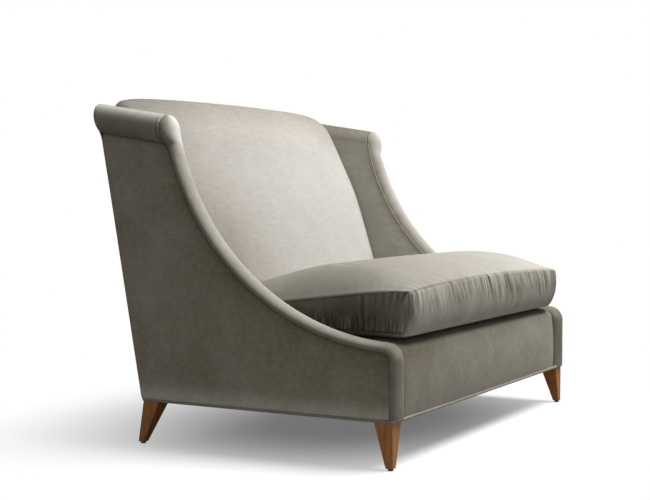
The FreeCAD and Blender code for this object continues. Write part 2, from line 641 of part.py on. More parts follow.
bolt_rods = []
bolt_rooms = []
insert_rings = []
insert_rooms = []
glide_feet = []
glide_rooms = []
legs = {}
for leg, (near_top, far_top, near_foot, far_foot) in leg_plans.items():
    body = loft(f"left_{leg}_blank", "XY_Plane", [
        (LEG_FOOT, rounded_square(
            LEG_OUT, f"({LEG_OUT} + Sizes.leg_foot)", near_foot, far_foot, "Sizes.leg_round")),
        (BASE, rounded_square(
            LEG_OUT, f"({LEG_OUT} + Sizes.leg_top)", near_top, far_top, "Sizes.leg_round")),
    ], flat=True)
    legs[leg] = body
    bolt_y = BOLT_FRONT if leg == "front_leg" else BOLT_BACK
    foot_x = f"{LEG_OUT} + Sizes.leg_foot / 2"
    foot_y = f"({near_foot} + {far_foot}) / 2"
    low = f"{BASE} - Sizes.bolt_reach"
    bolt_rods.append(rod(f"{leg}_bolt", (BOLT_X, bolt_y, low), "Sizes.bolt_radius", "2 * Sizes.bolt_reach"))
    bolt_rooms.append(rod(
        f"{leg}_bolt_hole", (BOLT_X, bolt_y, f"{low} - Sizes.hole_spare"),
        "Sizes.bolt_radius + Sizes.bolt_gap", "2 * Sizes.bolt_reach + 2 * Sizes.hole_spare"))
    ring = rod(f"{leg}_insert_ring", (BOLT_X, bolt_y, BASE), "Sizes.insert_radius", "Sizes.insert_height")
    insert_rings.append(carve(f"{leg}_insert", ring, bolt_rooms[-1]))
    insert_rooms.append(rod(
        f"{leg}_insert_hole", (BOLT_X, bolt_y, BASE), "Sizes.insert_radius + Sizes.bolt_gap",
        "Sizes.insert_height + Sizes.bolt_gap"))
    disc = rod(f"{leg}_glide_disc", (foot_x, foot_y, "0"), "Sizes.glide_radius", "Sizes.glide_height")
    pin_rod = rod(f"{leg}_glide_pin", (foot_x, foot_y, "Sizes.glide_height / 2"), "Sizes.glide_pin",
                  "Sizes.glide_height / 2 + Sizes.glide_pin_length")
    foot = doc.addObject("Part::Fuse", f"{leg}_glide")
    foot.Base = disc
    foot.Tool = pin_rod
    glide_feet.append(foot)
    glide_rooms.append(rod(
        f"{leg}_glide_hole", (foot_x, foot_y, "0"), "Sizes.glide_pin + Sizes.bolt_gap",
        "Sizes.glide_height + Sizes.glide_pin_length + Sizes.hole_spare"))
bolt_holes = gather("bolt_holes", bolt_rooms)
insert_holes = gather("insert_holes", insert_rooms)
leg_holes = gather("leg_holes", bolt_rooms + glide_rooms)
for leg, body in legs.items():
    both_sides(leg, carve(f"left_{leg}_drilled", body, leg_holes))
for name, items in (("hanger_bolts", bolt_rods), ("insert_nuts", insert_rings), ("glides", glide_feet)):
    left = gather(f"left_{name}", items)
    keep(name, gather(name, [left, mirror(f"right_{name}", left)]))

# Drill the timbers and keep them
both_sides("front_stump", carve("left_front_stump_drilled", stump, holes))
both_sides("arm_rail", carve("left_arm_rail_trim", arm_bar, post))
both_sides("back_post", carve("left_back_post_drilled", post, holes))

# Corner blocks, screwed into the seat rails
block_parts = []
screw_rods = []
screw_rooms = []
for place, wall, inward in (("front", FRONT_INNER, "1"), ("back", BACK_INNER, "(0 - 1)")):
    reach = f"({wall} + {inward} * Sizes.block_leg)"
    side_x = f"(0 - {FRAME_IN})"
    wedge = extrude(f"{place}_corner_block", "XY_Plane", BASE, f"({BASE} + Sizes.block_height)", [
        (side_x, wall), (f"{side_x} + Sizes.block_leg", wall), (side_x, reach),
    ])
    screw_y = f"({wall} + {inward} * Sizes.block_leg * 0.3)"
    screw_x = f"0 - {FRAME_IN} - Sizes.screw_length * 0.45"
    level = f"{BASE} + Sizes.block_height * 0.7"
    screw_rods.append(rod(f"{place}_block_screw", (screw_x, screw_y, level), "Sizes.screw_radius",
                          "Sizes.screw_length", "X"))
    screw_rooms.append(rod(
        f"{place}_block_screw_hole", (f"{screw_x} - Sizes.hole_spare", screw_y, level),
        "Sizes.screw_radius + Sizes.bolt_gap", "Sizes.screw_length + Sizes.block_leg", "X"))
    block_parts.append(carve(f"{place}_corner_block_drilled", wedge, screw_rooms[-1]))
left_blocks = gather("left_corner_blocks", block_parts)
keep("corner_blocks", gather("corner_blocks", [left_blocks, mirror("right_corner_blocks", left_blocks)]))
left_screws = gather("left_block_screws", screw_rods)
keep("block_screws", gather("block_screws", [left_screws, mirror("right_block_screws", left_screws)]))
screw_holes = gather("left_screw_holes", screw_rooms)
drill = gather("side_rail_waste", [holes, bolt_holes, insert_holes, screw_holes])
both_sides("side_rail", carve("left_side_rail_drilled", side_rail, drill))
for name, bar in (("front_seat_rail", front_bar), ("back_seat_rail", back_bar),
                  ("lower_back_rail", lower_bar), ("top_back_rail", top_bar)):
    keep(name, carve(name, bar, all_holes))

# Seat suspension: zigzag springs held by clips on the seat rails, then burlap, pad and cloth
CLIP_Y = f"({FACING} + Sizes.rail_stock / 2)"
CLIP_BACK = BACK_Y
WIRE_Z = f"({SEAT_TOP} + Sizes.clip_sheet + Sizes.seam_gap + Sizes.spring_wire)"
CLIP_TOP = f"({WIRE_Z} + Sizes.spring_wire + Sizes.seam_gap + Sizes.clip_sheet)"


def zigzag(across):
    """One sinuous spring: straight rungs across the seat joined by half-round bends."""
    level = number(WIRE_Z)
    begin, end = number(CLIP_Y), number(CLIP_BACK)
    rungs = int((end - begin) / number("Sizes.spring_rung"))
    rungs += 1 - rungs % 2
    step = (end - begin) / rungs
    bend = step / 2
    half = number("Sizes.spring_width") / 2 - bend
    edges = []
    for index in range(rungs + 1):
        y = begin + index * step
        side = 1 if index % 2 == 0 else -1
        start = Vector(across - side * half, y, level)
        stop = Vector(across + side * half, y, level)
        edges.append(Part.makeLine(start, stop))
        if index < rungs:
            top = Vector(across + side * (half + bend), y + bend, level)
            edges.append(Part.Arc(stop, top, Vector(across + side * half, y + step, level)).toShape())
    path = Part.Wire(edges)
    ring = Part.Circle(edges[0].Vertexes[0].Point, Vector(1, 0, 0), number("Sizes.spring_wire"))
    return path.makePipeShell([Part.Wire(ring.toShape())], True, False)


count = int(number("Sizes.spring_count"))
SPRING_PITCH = f"((2 * {INNER} - 2 * Sizes.spring_margin - Sizes.spring_width) / (Sizes.spring_count - 1))"
lanes = [number(SPRING_PITCH) * (index - (count - 1) / 2) for index in range(count)]
springs = doc.addObject("Part::Feature", "sinuous_springs")
springs.Shape = Part.makeCompound([zigzag(across) for across in lanes])
keep("sinuous_springs", springs)
clips = []
for index in range(count):
    middle = f"({SPRING_PITCH} * ({index} - {count - 1} / 2))"
    wide = (f"{middle} - Sizes.clip_width / 2", f"{middle} + Sizes.clip_width / 2")
    deep = (f"{CLIP_Y} - Sizes.clip_length / 2", f"{CLIP_Y} + Sizes.clip_length / 2")
    shell = block(f"clip_shell_{index}", wide, deep, (SEAT_TOP, CLIP_TOP))
    slot_y = (f"{CLIP_Y} - Sizes.spring_wire - Sizes.seam_gap", f"{CLIP_Y} + Sizes.clip_length")
    slot_x = (f"{wide[0]} - Sizes.hole_spare", f"{wide[1]} + Sizes.hole_spare")
    slot = block(f"clip_slot_{index}", slot_x, slot_y,
                 (f"{SEAT_TOP} + Sizes.clip_sheet", f"{CLIP_TOP} - Sizes.clip_sheet"))
    clips.append(carve(f"clip_{index}", shell, slot))
front_clips = gather("front_clips", clips)
back_clips = doc.addObject("Part::Mirroring", "back_clips")
back_clips.Source = front_clips
back_clips.Normal = Vector(0, 1, 0)
back_clips.setExpression("Base.y", f"({CLIP_Y} + {CLIP_BACK}) / 2")
keep("spring_clips", gather("spring_clips", [front_clips, back_clips]))

DECK_X = (minus(BETWEEN), BETWEEN)
DECK_BACK = rear(BASE, WELT_ROOM)
BURLAP_TOP = f"({CLIP_TOP} + Sizes.seam_gap + Sizes.burlap)"
CLOTH_FOOT = "(Sizes.deck_height - Sizes.deck_cloth)"
keep("burlap", block("burlap", DECK_X, (FACING, DECK_BACK), (f"{CLIP_TOP} + Sizes.seam_gap", BURLAP_TOP)))
DECK_Y = (f"{FRONT_INNER} + Sizes.seam_gap", DECK_BACK)
keep("deck_pad", block("deck_pad", DECK_X, DECK_Y, (BURLAP_TOP, CLOTH_FOOT)))
keep("deck_cloth", block("deck_cloth", DECK_X, DECK_Y, (CLOTH_FOOT, "Sizes.deck_height")))
NOTCH_X = f"({HALF} - Sizes.leg_top - Sizes.dust_notch)"
NOTCH_FRONT = f"({FRONT} + Sizes.leg_top + Sizes.dust_notch)"
NOTCH_BACK = f"({REAR_EDGE} - Sizes.leg_top - Sizes.dust_notch)"
WIDE = f"({FRAME_OUT} - Sizes.dust_margin)"
NEAR = f"({FACING} + Sizes.dust_margin)"
FAR = rear(BASE, f"{FLUSH} + Sizes.dust_margin")
keep("dust_cover", extrude("dust_cover", "XY_Plane", f"({BASE} - Sizes.dust_cover)", BASE, [
    (minus(NOTCH_X), NEAR), (NOTCH_X, NEAR), (NOTCH_X, NOTCH_FRONT), (WIDE, NOTCH_FRONT),
    (WIDE, NOTCH_BACK), (NOTCH_X, NOTCH_BACK), (NOTCH_X, FAR), (minus(NOTCH_X), FAR),
    (minus(NOTCH_X), NOTCH_BACK), (minus(WIDE), NOTCH_BACK), (minus(WIDE), NOTCH_FRONT),
    (minus(NOTCH_X), NOTCH_FRONT),
]))

# Inside back: a cover that rolls over the crest, and the pad under it
SPANS = ["(0 - 1)", "(0 - 2 / 3)", "(0 - 1 / 3)", "0", "(1 / 3)", "(2 / 3)", "1"]
DROPS = ["1", "0.13", "0", "0", "0", "0.13", "1"]
SWELLS = ["0.1", "0.75", "0.95", "1", "0.95", "0.75", "0.1"]
ROLL_HIT_Z = f"({ROLL_Z} + {ROLL_RUN} * sin({TILT}))"
OUTSIDE_TOP = f"({ROLL_HIT_Z} + Sizes.outside_back_rise)"
BACK_SEAM = f"({OUTSIDE_TOP} + Sizes.outside_back * sin({RAKE}) + Sizes.seam_gap)"
BACK_FOOT = "(Sizes.deck_height + Sizes.seam_gap)"


def crest(drop, swell, inset):
    """Front face, crest and rear turn of the inside back, as corners from foot to rear."""
    top = f"(Sizes.crest_height - Sizes.crest_drop * {drop} - ({inset}))"
    spring = f"(Sizes.crest_height - Sizes.crest_drop * {drop} - Sizes.crest_round)"
    middle = f"(({BACK_FOOT} + {spring}) / 2)"
    seam = BACK_SEAM
    ridge = rear(top, f"Sizes.crest_round * 0.19 + ({inset}) * 0.5")
    return [
        (seat_back(BACK_FOOT, inset), BACK_FOOT),
        (seat_back(spring, inset), spring,
         seat_back(middle, f"{inset} - Sizes.back_swell * {swell}"), middle),
        (ridge, top, f"({seat_back(spring, inset)} * 0.56 + {ridge} * 0.44)",
         f"({top} - Sizes.crest_round * 0.24)"),
        (rear(seam, inset), seam, rear(f"(({top} + {seam}) / 2)", f"Sizes.crest_lip + {inset} * 0.9"),
         f"({top} * 0.6 + {seam} * 0.4)"),
    ]


def back_band(drop, swell):
    return crest(drop, swell, "0") + walk_back(crest(drop, swell, "Sizes.back_cover"))


def back_fill(drop, swell):
    outer = crest(drop, swell, "(Sizes.back_cover + Sizes.seam_gap)")
    shelf = f"({TOP_RAIL_TOP} + Sizes.seam_gap)"
    seat = f"({STRAP_FRONT} + Sizes.seam_gap)"
    return outer + [
        (rear(BACK_SEAM, FLUSH), BACK_SEAM),
        (rear(shelf, FLUSH), shelf),
        (rear(shelf, seat), shelf),
        (rear(BACK_FOOT, seat), BACK_FOOT),
    ]


for name, section in (("inside_back", back_band), ("back_pad", back_fill)):
    sections = []
    for span, drop, swell in zip(SPANS, DROPS, SWELLS):
        sections.append((f"{span} * {BETWEEN}", section(drop, swell)))
    keep(name, loft(name, "YZ_Plane", sections))

straps = []
STRAP_PITCH = f"((2 * {INNER} - 2 * Sizes.strap_margin - Sizes.strap_width) / (Sizes.strap_count - 1))"
for index in range(int(number("Sizes.strap_count"))):
    middle = f"({STRAP_PITCH} * ({index} - (Sizes.strap_count - 1) / 2))"
    bottom = f"({LOWER_RAIL_BOTTOM} + Sizes.strap_tack)"
    top = f"({TOP_RAIL_TOP} - Sizes.strap_tack)"
    left_edge = f"{middle} - Sizes.strap_width / 2"
    right_edge = f"({middle} + Sizes.strap_width / 2)"
    straps.append(extrude(
        f"strap_{index}", "YZ_Plane", left_edge, right_edge, [
            (rear(bottom, STRAP_FRONT), bottom), (rear(bottom, RAIL_FRONT), bottom),
            (rear(top, RAIL_FRONT), top), (rear(top, STRAP_FRONT), top),
        ]))
keep("back_webbing", gather("back_webbing", straps))

# Outside back: one flat panel with an ear over the end of each roll, leaning with the posts
EAR = f"({ROLL_HIT_Z} - {BASE}) / cos({RAKE})"
FOOT = f"({COVER_FOOT} - {BASE}) / cos({RAKE})"
RIM = "(Sizes.roll_radius + 1)"
NECK = f"({HALF} - {ROLL_X})"
NECK_FALL = f"sqrt({RIM} * {RIM} - {NECK} * {NECK})"
EAR_RISE = f"(Sizes.outside_back_rise / cos({RAKE}))"
EAR_IN = f"sqrt({RIM} * {RIM} - {EAR_RISE} * {EAR_RISE})"
panel = extrude("outside_back", "XZ_Plane", "0", "Sizes.outside_back", [
    (minus(HALF), FOOT),
    (HALF, FOOT),
    (HALF, f"{EAR} - {NECK_FALL}"),
    (f"{ROLL_X} - {EAR_IN}", f"{EAR} + {EAR_RISE}", f"{ROLL_X} + {RIM} * 0.8", f"{EAR} + {RIM} * 0.6"),
    (f"0 - {ROLL_X} + {EAR_IN}", f"{EAR} + {EAR_RISE}"),
    (minus(HALF), f"{EAR} - {NECK_FALL}", f"0 - {ROLL_X} - {RIM} * 0.8", f"{EAR} + {RIM} * 0.6"),
])
panel.Placement = Placement(Vector(), Rotation(Vector(1, 0, 0), -number("Sizes.back_rake")))
bind(panel, Base_y=REAR_EDGE, Base_z=BASE, **{"Placement.Rotation.Angle": "0 - Sizes.back_rake"})
keep("outside_back", panel)

# Front border: a swelling cover and the pad under it, between the facings
BORDER_TOP = "(Sizes.deck_height - Sizes.front_drop)"
BORDER_BACK = FRONT_INNER


def border(swell, tuck, inset):
    """Front of the border from its foot, over the top and back to the deck."""
    foot = f"{FRONT} + Sizes.border_foot + ({inset})"
    shoulder = f"({BORDER_TOP} - Sizes.border_shoulder - {tuck} * Sizes.border_tuck)"
    nose = f"{FRONT} + Sizes.border_nose + ({inset})"
    top = f"({BORDER_TOP} - ({inset}) - {tuck} * Sizes.border_tuck)"
    return [
        (foot, COVER_FOOT),
        (nose, shoulder,
         f"{FRONT} - Sizes.front_swell * {swell} + ({inset})", f"({COVER_FOOT} + {shoulder}) / 2"),
        (f"{FACING} + Sizes.border_land", top,
         f"{FRONT} + Sizes.border_turn + ({inset})", f"({top} - Sizes.border_turn_fall)"),
        (BORDER_BACK, top),
    ]


def border_band(swell, tuck):
    return border(swell, tuck, "0") + walk_back(border(swell, tuck, "Sizes.front_cover"))


def border_fill(swell, tuck):
    outer = border(swell, tuck, "(Sizes.front_cover + Sizes.seam_gap)")
    lip = f"({BURLAP_TOP} + Sizes.seam_gap)"
    return outer + [(BORDER_BACK, lip), (f"{FACING} - Sizes.seam_gap", lip),
                    (f"{FACING} - Sizes.seam_gap", COVER_FOOT)]


BORDER_SWELLS = ["0", "0.8", "1", "1", "1", "0.8", "0"]
BORDER_TUCKS = ["1", "0.12", "0", "0", "0", "0.12", "1"]
for name, section in (("front_border", border_band), ("front_pad", border_fill)):
    keep(name, loft(name, "YZ_Plane", [
        (f"{span} * {BETWEEN}", section(swell, tuck))
        for span, swell, tuck in zip(SPANS, BORDER_SWELLS, BORDER_TUCKS)
    ]))

# Welt: one cord round the bottom edge, under the covers
welt = start_body("base_welt")
WELT_X = f"({HALF} - Sizes.welt_radius)"
WELT_FRONT = f"({FRONT} + Sizes.welt_radius)"
WELT_BACK = rear(BASE, "Sizes.welt_radius")
WELT_Z = f"({BASE} + Sizes.welt_radius)"
welt_path = draw(start_sketch(welt, "XY_Plane", WELT_Z), rounded_square(
    minus(WELT_X), WELT_X, WELT_FRONT, WELT_BACK, "Sizes.welt_corner"))
welt_ring = start_sketch(welt, "YZ_Plane", "0")
WELT_SIZE = "Sizes.welt_radius - Sizes.seam_gap / 2"
ring = welt_ring.addGeometry(Part.Circle(
    Vector(number(WELT_FRONT), number(WELT_Z), 0), Vector(0, 0, 1), number(WELT_SIZE)))
pin(welt_ring, ring, 3, WELT_FRONT, WELT_Z)
drive(welt_ring, "Radius", (ring,), WELT_SIZE)
cord = welt.newObject("PartDesign::AdditivePipe", "base_welt_cord")
cord.Profile = welt_ring
cord.Spine = welt_path
keep("base_welt", welt)

# Seat cushion: cover, foam core and the zip in its rear boxing
CUSHION_FOOT = "(Sizes.deck_height + Sizes.seam_gap)"
CUSHION_FRONT = f"({FRONT} - Sizes.cushion_overhang)"
CUSHION_REAR = "(0 - Sizes.cushion_back_gap - Sizes.back_swell)"


def cushion_side(rise, tuck, inset):
    """One slice of the cushion: foot, nose, crown and leaning rear."""
    foot = f"({CUSHION_FOOT} + {tuck} * Sizes.cushion_tuck * 0.8 + ({inset}))"
    seam = f"(Sizes.cushion_seam - {tuck} * Sizes.cushion_tuck - ({inset}))"
    nose = f"({CUSHION_FRONT} + {tuck} * Sizes.cushion_tuck + ({inset}))"
    gap = f"({CUSHION_REAR} - ({inset}))"
    crown = f"({seam} + Sizes.cushion_crown * {rise})"
    back_seam = f"({seam} + Sizes.cushion_crown * {rise} * 0.15)"
    return [
        (seat_back(foot, gap), foot),
        (f"{nose} + Sizes.cushion_toe", foot),
        (nose, seam, f"{nose} - Sizes.cushion_nose * (1 - {tuck} * 0.5)", f"({foot} * 0.6 + {seam} * 0.4)"),
        (seat_back(back_seam, gap), back_seam, f"({nose} + {seat_back(back_seam, gap)}) / 2", crown),
    ]


# Share of the half width, share of the crown and share of the tuck at each slice
CUSHION_SPANS = [
    ("(0 - 1)", "0.3", "1"),
    ("(0 - 0.5)", "0.88", "0.08"),
    ("0", "1", "0"),
    ("0.5", "0.88", "0.08"),
    ("1", "0.3", "1"),
]


def cushion_form(name, inset):
    reach = f"({CUSHION_HALF} - ({inset}))"
    return loft(name, "YZ_Plane", [
        (f"{span} * {reach}", cushion_side(rise, tuck, inset)) for span, rise, tuck in CUSHION_SPANS
    ])


keep("cushion_cover", carve("cushion_cover", cushion_form("cushion_outside", "0"),
                            cushion_form("cushion_hollow", "Sizes.cushion_cover")))
keep("cushion_core", cushion_form("cushion_core", "(Sizes.cushion_cover + Sizes.seam_gap)"))

ZIP_Z = f"(({CUSHION_FOOT} + Sizes.cushion_seam) / 2)"
ZIP_Y = seat_back(ZIP_Z, CUSHION_REAR)


def zip_piece(name, x, out, up, thick, tall):
    """A small box that leans with the cushion's rear, some way out from it and up it."""
    piece = doc.addObject("Part::Box", name)
    piece.Placement = Placement(Vector(), Rotation(Vector(1, 0, 0), -number("Sizes.back_lean")))
    return bind(
        piece, Length=f"{x[1]} - ({x[0]})", Width=thick, Height=tall, Base_x=x[0],
        Base_y=f"{ZIP_Y} + ({out}) * cos({LEAN}) + ({up}) * sin({LEAN})",
        Base_z=f"{ZIP_Z} - ({out}) * sin({LEAN}) + ({up}) * cos({LEAN})",
        **{"Placement.Rotation.Angle": "0 - Sizes.back_lean"},
    )


ZIP_END = f"({CUSHION_HALF} - Sizes.zip_margin)"
ZIP_X = (minus(ZIP_END), ZIP_END)
tape = zip_piece("zip_tape_strip", ZIP_X, "Sizes.seam_gap", "0 - Sizes.zip_tape / 2",
                 "Sizes.zip_sheet", "Sizes.zip_tape")
BEAD_OUT = "(Sizes.seam_gap + Sizes.zip_sheet)"
teeth = zip_piece("zip_teeth_row", ZIP_X, f"{BEAD_OUT} * 0.9", "0 - Sizes.zip_teeth / 2",
                  "Sizes.zip_bead", "Sizes.zip_teeth")
zip_joined = doc.addObject("Part::Fuse", "zip_joined")
zip_joined.Base = tape
zip_joined.Tool = teeth
keep("zip", zip_joined)
SLIDER_X = (f"{ZIP_END} - Sizes.slider_stop - Sizes.slider_length", f"({ZIP_END} - Sizes.slider_stop)")
SLIDER_OUT = f"({BEAD_OUT} + Sizes.seam_gap)"
slider = zip_piece("zip_slider_block", SLIDER_X, SLIDER_OUT, "0 - Sizes.slider_height / 2",
                   "Sizes.zip_bead + Sizes.slider_wall", "Sizes.slider_height")
CHANNEL_X = (f"{ZIP_END} - 2 * Sizes.slider_stop - Sizes.slider_length", ZIP_END)
channel = zip_piece("zip_slider_channel", CHANNEL_X,
                    "0", "0 - Sizes.zip_teeth / 2 - Sizes.seam_gap",
                    f"{BEAD_OUT} + Sizes.zip_bead + Sizes.seam_gap", "Sizes.zip_teeth + 2 * Sizes.seam_gap")
keep("zip_slider", carve("zip_slider", slider, channel))

doc.recompute()
broken = []
for item in doc.Objects:
    if any(word in item.State for word in ("Invalid", "Error")):
        broken.append(item.Label)
for name, item in nodes.items():
    if item.Shape.isNull() or not item.Shape.isValid() or not item.Shape.Solids:
        broken.append(name)
if broken:
    raise SystemExit("these pieces did not build: " + ", ".join(broken))

os.makedirs("parts", exist_ok=True)
whole = FreeCAD.BoundBox()
for name, item in nodes.items():
    item.Shape.exportStep(f"parts/{name}.step")
    whole.add(item.Shape.BoundBox)
print(len(nodes), "pieces written; overall", [round(side, 1) for side in (
    whole.XMin, whole.XMax, whole.YMin, whole.YMax, whole.ZMin, whole.ZMax)])
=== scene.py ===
# %% [markdown]
# # A curved-back armchair in grey-taupe velvet
# The chair is a padded wooden frame: two swept wings that roll outward at the top, a tight back with
# rounded shoulders, a sprung seat and one loose box cushion. The CAD model is the fixed frame. Here each
# cover is sewn again as a surface of points in millimetres, so that it can swell, tuck and gather.

# %% Load the frame and the tools
import bmesh
import bpy
import math
import numpy as np
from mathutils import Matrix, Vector, noise


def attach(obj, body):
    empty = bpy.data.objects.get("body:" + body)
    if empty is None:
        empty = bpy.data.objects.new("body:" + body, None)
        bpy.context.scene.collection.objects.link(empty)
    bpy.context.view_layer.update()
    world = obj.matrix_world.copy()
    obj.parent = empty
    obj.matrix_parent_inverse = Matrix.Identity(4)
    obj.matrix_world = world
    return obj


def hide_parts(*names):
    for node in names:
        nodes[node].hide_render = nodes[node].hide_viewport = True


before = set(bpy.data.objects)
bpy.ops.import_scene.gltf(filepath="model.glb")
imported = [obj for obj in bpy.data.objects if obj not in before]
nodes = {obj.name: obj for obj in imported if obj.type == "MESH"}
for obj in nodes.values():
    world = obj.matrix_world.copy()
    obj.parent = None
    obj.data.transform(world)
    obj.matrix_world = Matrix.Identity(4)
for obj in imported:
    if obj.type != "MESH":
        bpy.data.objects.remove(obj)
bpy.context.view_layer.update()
MM = 0.001
SIDES = ((-1, "left"), (1, "right"))

# %% [markdown]
# ## The camera
# The photograph is taken from the chair's front left, a little above the seat, with a long lens. The
# place, turn and lens below were solved from the chair's corners in the picture, so they are plain
# numbers and the lens needs no shift.

# %% Camera
scene = bpy.context.scene
camera_data = bpy.data.cameras.new("camera")
camera_data.lens = 74.24
camera_data.sensor_width = 36
camera = bpy.data.objects.new("camera", camera_data)
camera.location = (-3.4604, -1.8210, 0.672)
camera.rotation_euler = (math.radians(87.43), 0, math.radians(-61.06))
scene.collection.objects.link(camera)
scene.camera = camera
print("camera at", [round(value, 2) for value in camera.location])

# %% [markdown]
# ## Colours and nodes
# Colours are written as the hex values that a paint chart gives, and one function turns them to the
# linear numbers that the renderer adds up. One more function adds a node with its settings and links:
# a material is then a short list of such calls.

# %% Colour and node helpers
def linear(hex_colour):
    """The linear colour of an sRGB hex value, with full opacity."""
    parts = [int(hex_colour[i:i + 2], 16) / 255 for i in (1, 3, 5)]
    return tuple(p / 12.92 if p <= 0.04045 else ((p + 0.055) / 1.055) ** 2.4 for p in parts) + (1.0,)


def add(tree, kind, inputs=None, stops=(), **settings):
    """Add one node. Settings are its properties; inputs are values or other nodes' outputs by socket;
    stops are the places and hex colours along a ramp."""
    node = tree.nodes.new(kind)
    for name, value in settings.items():
        setattr(node, name, value)
    for number, (place, colour) in enumerate(stops):
        band = node.color_ramp.elements
        stop = band[number] if number < len(band) else band.new(place)
        stop.position, stop.color = place, linear(colour)
    for name, value in (inputs or {}).items():
        if isinstance(value, bpy.types.NodeSocket):
            tree.links.new(value, node.inputs[name])
        else:
            node.inputs[name].default_value = value
    return node


def new_material(name):
    """An empty material: its node tree, and the shader that its output shows."""
    material = bpy.data.materials.new(name)
    material.use_nodes = True
    tree = material.node_tree
    tree.nodes.clear()
    shader = add(tree, "ShaderNodeBsdfPrincipled")
    add(tree, "ShaderNodeOutputMaterial", {"Surface": shader.outputs["BSDF"]})
    return material, tree, shader


print("white is", linear("#ffffff")[:3])

# %% [markdown]
# ## Threads and gathers
# Two patterns come and go on the cover: thick cross threads, which show as short streaks, and fine
# gathers beside a seam. An image could hold both, but noise that is stretched along one direction needs
# no picture and keeps its size in millimetres. The gathers follow three numbers that are painted on the
# cushion: how far along the seam a point lies, how far below it, and how much the cloth is gathered there.

# %% Threads and gathers
GATHER_APART, GATHER_LONG = 5, 90


def cross_threads(tree, place, thread):
    """Streaks of thick thread, as long in millimetres along X, Y and Z as thread says."""
    stretched = add(tree, "ShaderNodeMapping", {
        "Vector": place, "Scale": tuple(1000 / length for length in thread)})
    return add(tree, "ShaderNodeTexNoise", {
        "Vector": stretched.outputs["Vector"], "Scale": 1.0, "Detail": 2.0, "Roughness": 0.55})


def gather_lift(tree):
    """Height of the fine gathers, weighted by how much the cloth is gathered at each point."""
    around, depth, weight = (add(tree, "ShaderNodeAttribute", attribute_name=name).outputs["Fac"]
                             for name in ("around", "down", "gather"))
    line = add(tree, "ShaderNodeCombineXYZ", {"X": around, "Y": depth})
    line = add(tree, "ShaderNodeMapping", {
        "Vector": line.outputs["Vector"], "Scale": (1000 / GATHER_APART, 1000 / GATHER_LONG, 1.0)})
    folds = add(tree, "ShaderNodeTexNoise", {
        "Vector": line.outputs["Vector"], "Scale": 1.0, "Detail": 2.5, "Roughness": 0.6,
        "Distortion": 0.3})
    lift = add(tree, "ShaderNodeMath", {0: folds.outputs["Fac"], 1: 0.5}, operation="SUBTRACT")
    lift = add(tree, "ShaderNodeMath", {0: lift.outputs[0], 1: weight}, operation="MULTIPLY")
    return lift.outputs[0]


print("fine gathers:", GATHER_APART, "mm apart and", GATHER_LONG, "mm long")

# %% [markdown]
# ## Velvet
# The cover is a cotton velvet: a short dense pile that stands on a woven ground and is brushed one way.
# It has no gloss. Light catches the tips of the pile at the edges of a form, which is the sheen. Where
# the pile leans toward the light the cloth is pale, and where it leans away it is deep, so panels cut
# from one bolt differ in depth. Each piece gets one number, its light and nap, that holds this lean and
# also painted light and shade: paler where the light falls on a part, deeper in its creases and where
# shade falls under its neighbours. The cloth turns the number into a tone: 0 is the deepest and 1 the
# palest. Handling adds patches a hand wide, with smaller ones inside them. The pile itself is 0.3 mm and
# too fine to show, so it is drawn at 1.6 mm.

# %% Velvet
TONES = ("#433d31", "#5c5546", "#9b978d", "#cfcdca")
TONE_PLACES = (0.0, 0.1, 0.5, 1.0)


def velvet(name, mottle=0.085, slub=0.0, thread=(42, 17, 2.5), gather=0.0, tones=TONES, tint="#c4bdb0"):
    """Brushed cotton velvet whose tone follows its painted light and nap. Mottle is how much the brushed
    patches differ, slub how much the cross threads show, and gather how deep the fine gathers stand."""
    material, tree, shader = new_material(name)
    shader.inputs["Roughness"].default_value = 0.92
    shader.inputs["IOR"].default_value = 1.46
    shader.inputs["Specular IOR Level"].default_value = 0.1
    shader.inputs["Sheen Weight"].default_value = 0.22
    shader.inputs["Sheen Roughness"].default_value = 0.38
    shader.inputs["Sheen Tint"].default_value = linear(tint)
    place = add(tree, "ShaderNodeTexCoord").outputs["Object"]
    # Brushed patches are about 110 mm across, and the pile that leans within them about 18 mm
    patches = add(tree, "ShaderNodeTexNoise", {
        "Vector": place, "Scale": 1000 / 110, "Detail": 3.0, "Roughness": 0.5, "Distortion": 0.5})
    leaning = add(tree, "ShaderNodeTexNoise", {
        "Vector": place, "Scale": 1000 / 18, "Detail": 3.0, "Roughness": 0.6})
    pile = add(tree, "ShaderNodeTexNoise", {
        "Vector": place, "Scale": 1000 / 1.6, "Detail": 2.0, "Roughness": 0.65})
    waves = [(patches, mottle), (leaning, mottle), (pile, 0.08)]
    height = pile.outputs["Fac"]
    if slub:
        threads = cross_threads(tree, place, thread)
        waves.append((threads, slub))
        height = add(tree, "ShaderNodeMath", {
            0: threads.outputs["Fac"], 1: 0.8, 2: height}, operation="MULTIPLY_ADD").outputs[0]
    # The tone starts from each point's painted light and nap
    tone = add(tree, "ShaderNodeAttribute", attribute_name="light_and_nap").outputs["Fac"]
    for wave, share in waves:
        middle = add(tree, "ShaderNodeMath", {0: wave.outputs["Fac"], 1: 0.5}, operation="SUBTRACT")
        tone = add(tree, "ShaderNodeMath", {
            0: middle.outputs[0], 1: share * 2, 2: tone}, operation="MULTIPLY_ADD").outputs[0]
    normal = add(tree, "ShaderNodeBump", {"Height": height, "Strength": 0.3, "Distance": 0.0006})
    if gather:
        lift = gather_lift(tree)
        # Crests of the fine gathers are painted paler too: a painted highlight on top of their bump
        tone = add(tree, "ShaderNodeMath", {
            0: lift, 1: 1.2, 2: tone}, operation="MULTIPLY_ADD").outputs[0]
        normal = add(tree, "ShaderNodeBump", {
            "Height": lift, "Strength": gather, "Distance": 0.008, "Normal": normal.outputs["Normal"]})
    colour = add(tree, "ShaderNodeValToRGB", {"Fac": tone}, stops=list(zip(TONE_PLACES, tones)))
    tree.links.new(colour.outputs["Color"], shader.inputs["Base Color"])
    tree.links.new(normal.outputs["Normal"], shader.inputs["Normal"])
    return material


print("velvet has", len(TONES), "tones, from", TONES[0], "to", TONES[-1])
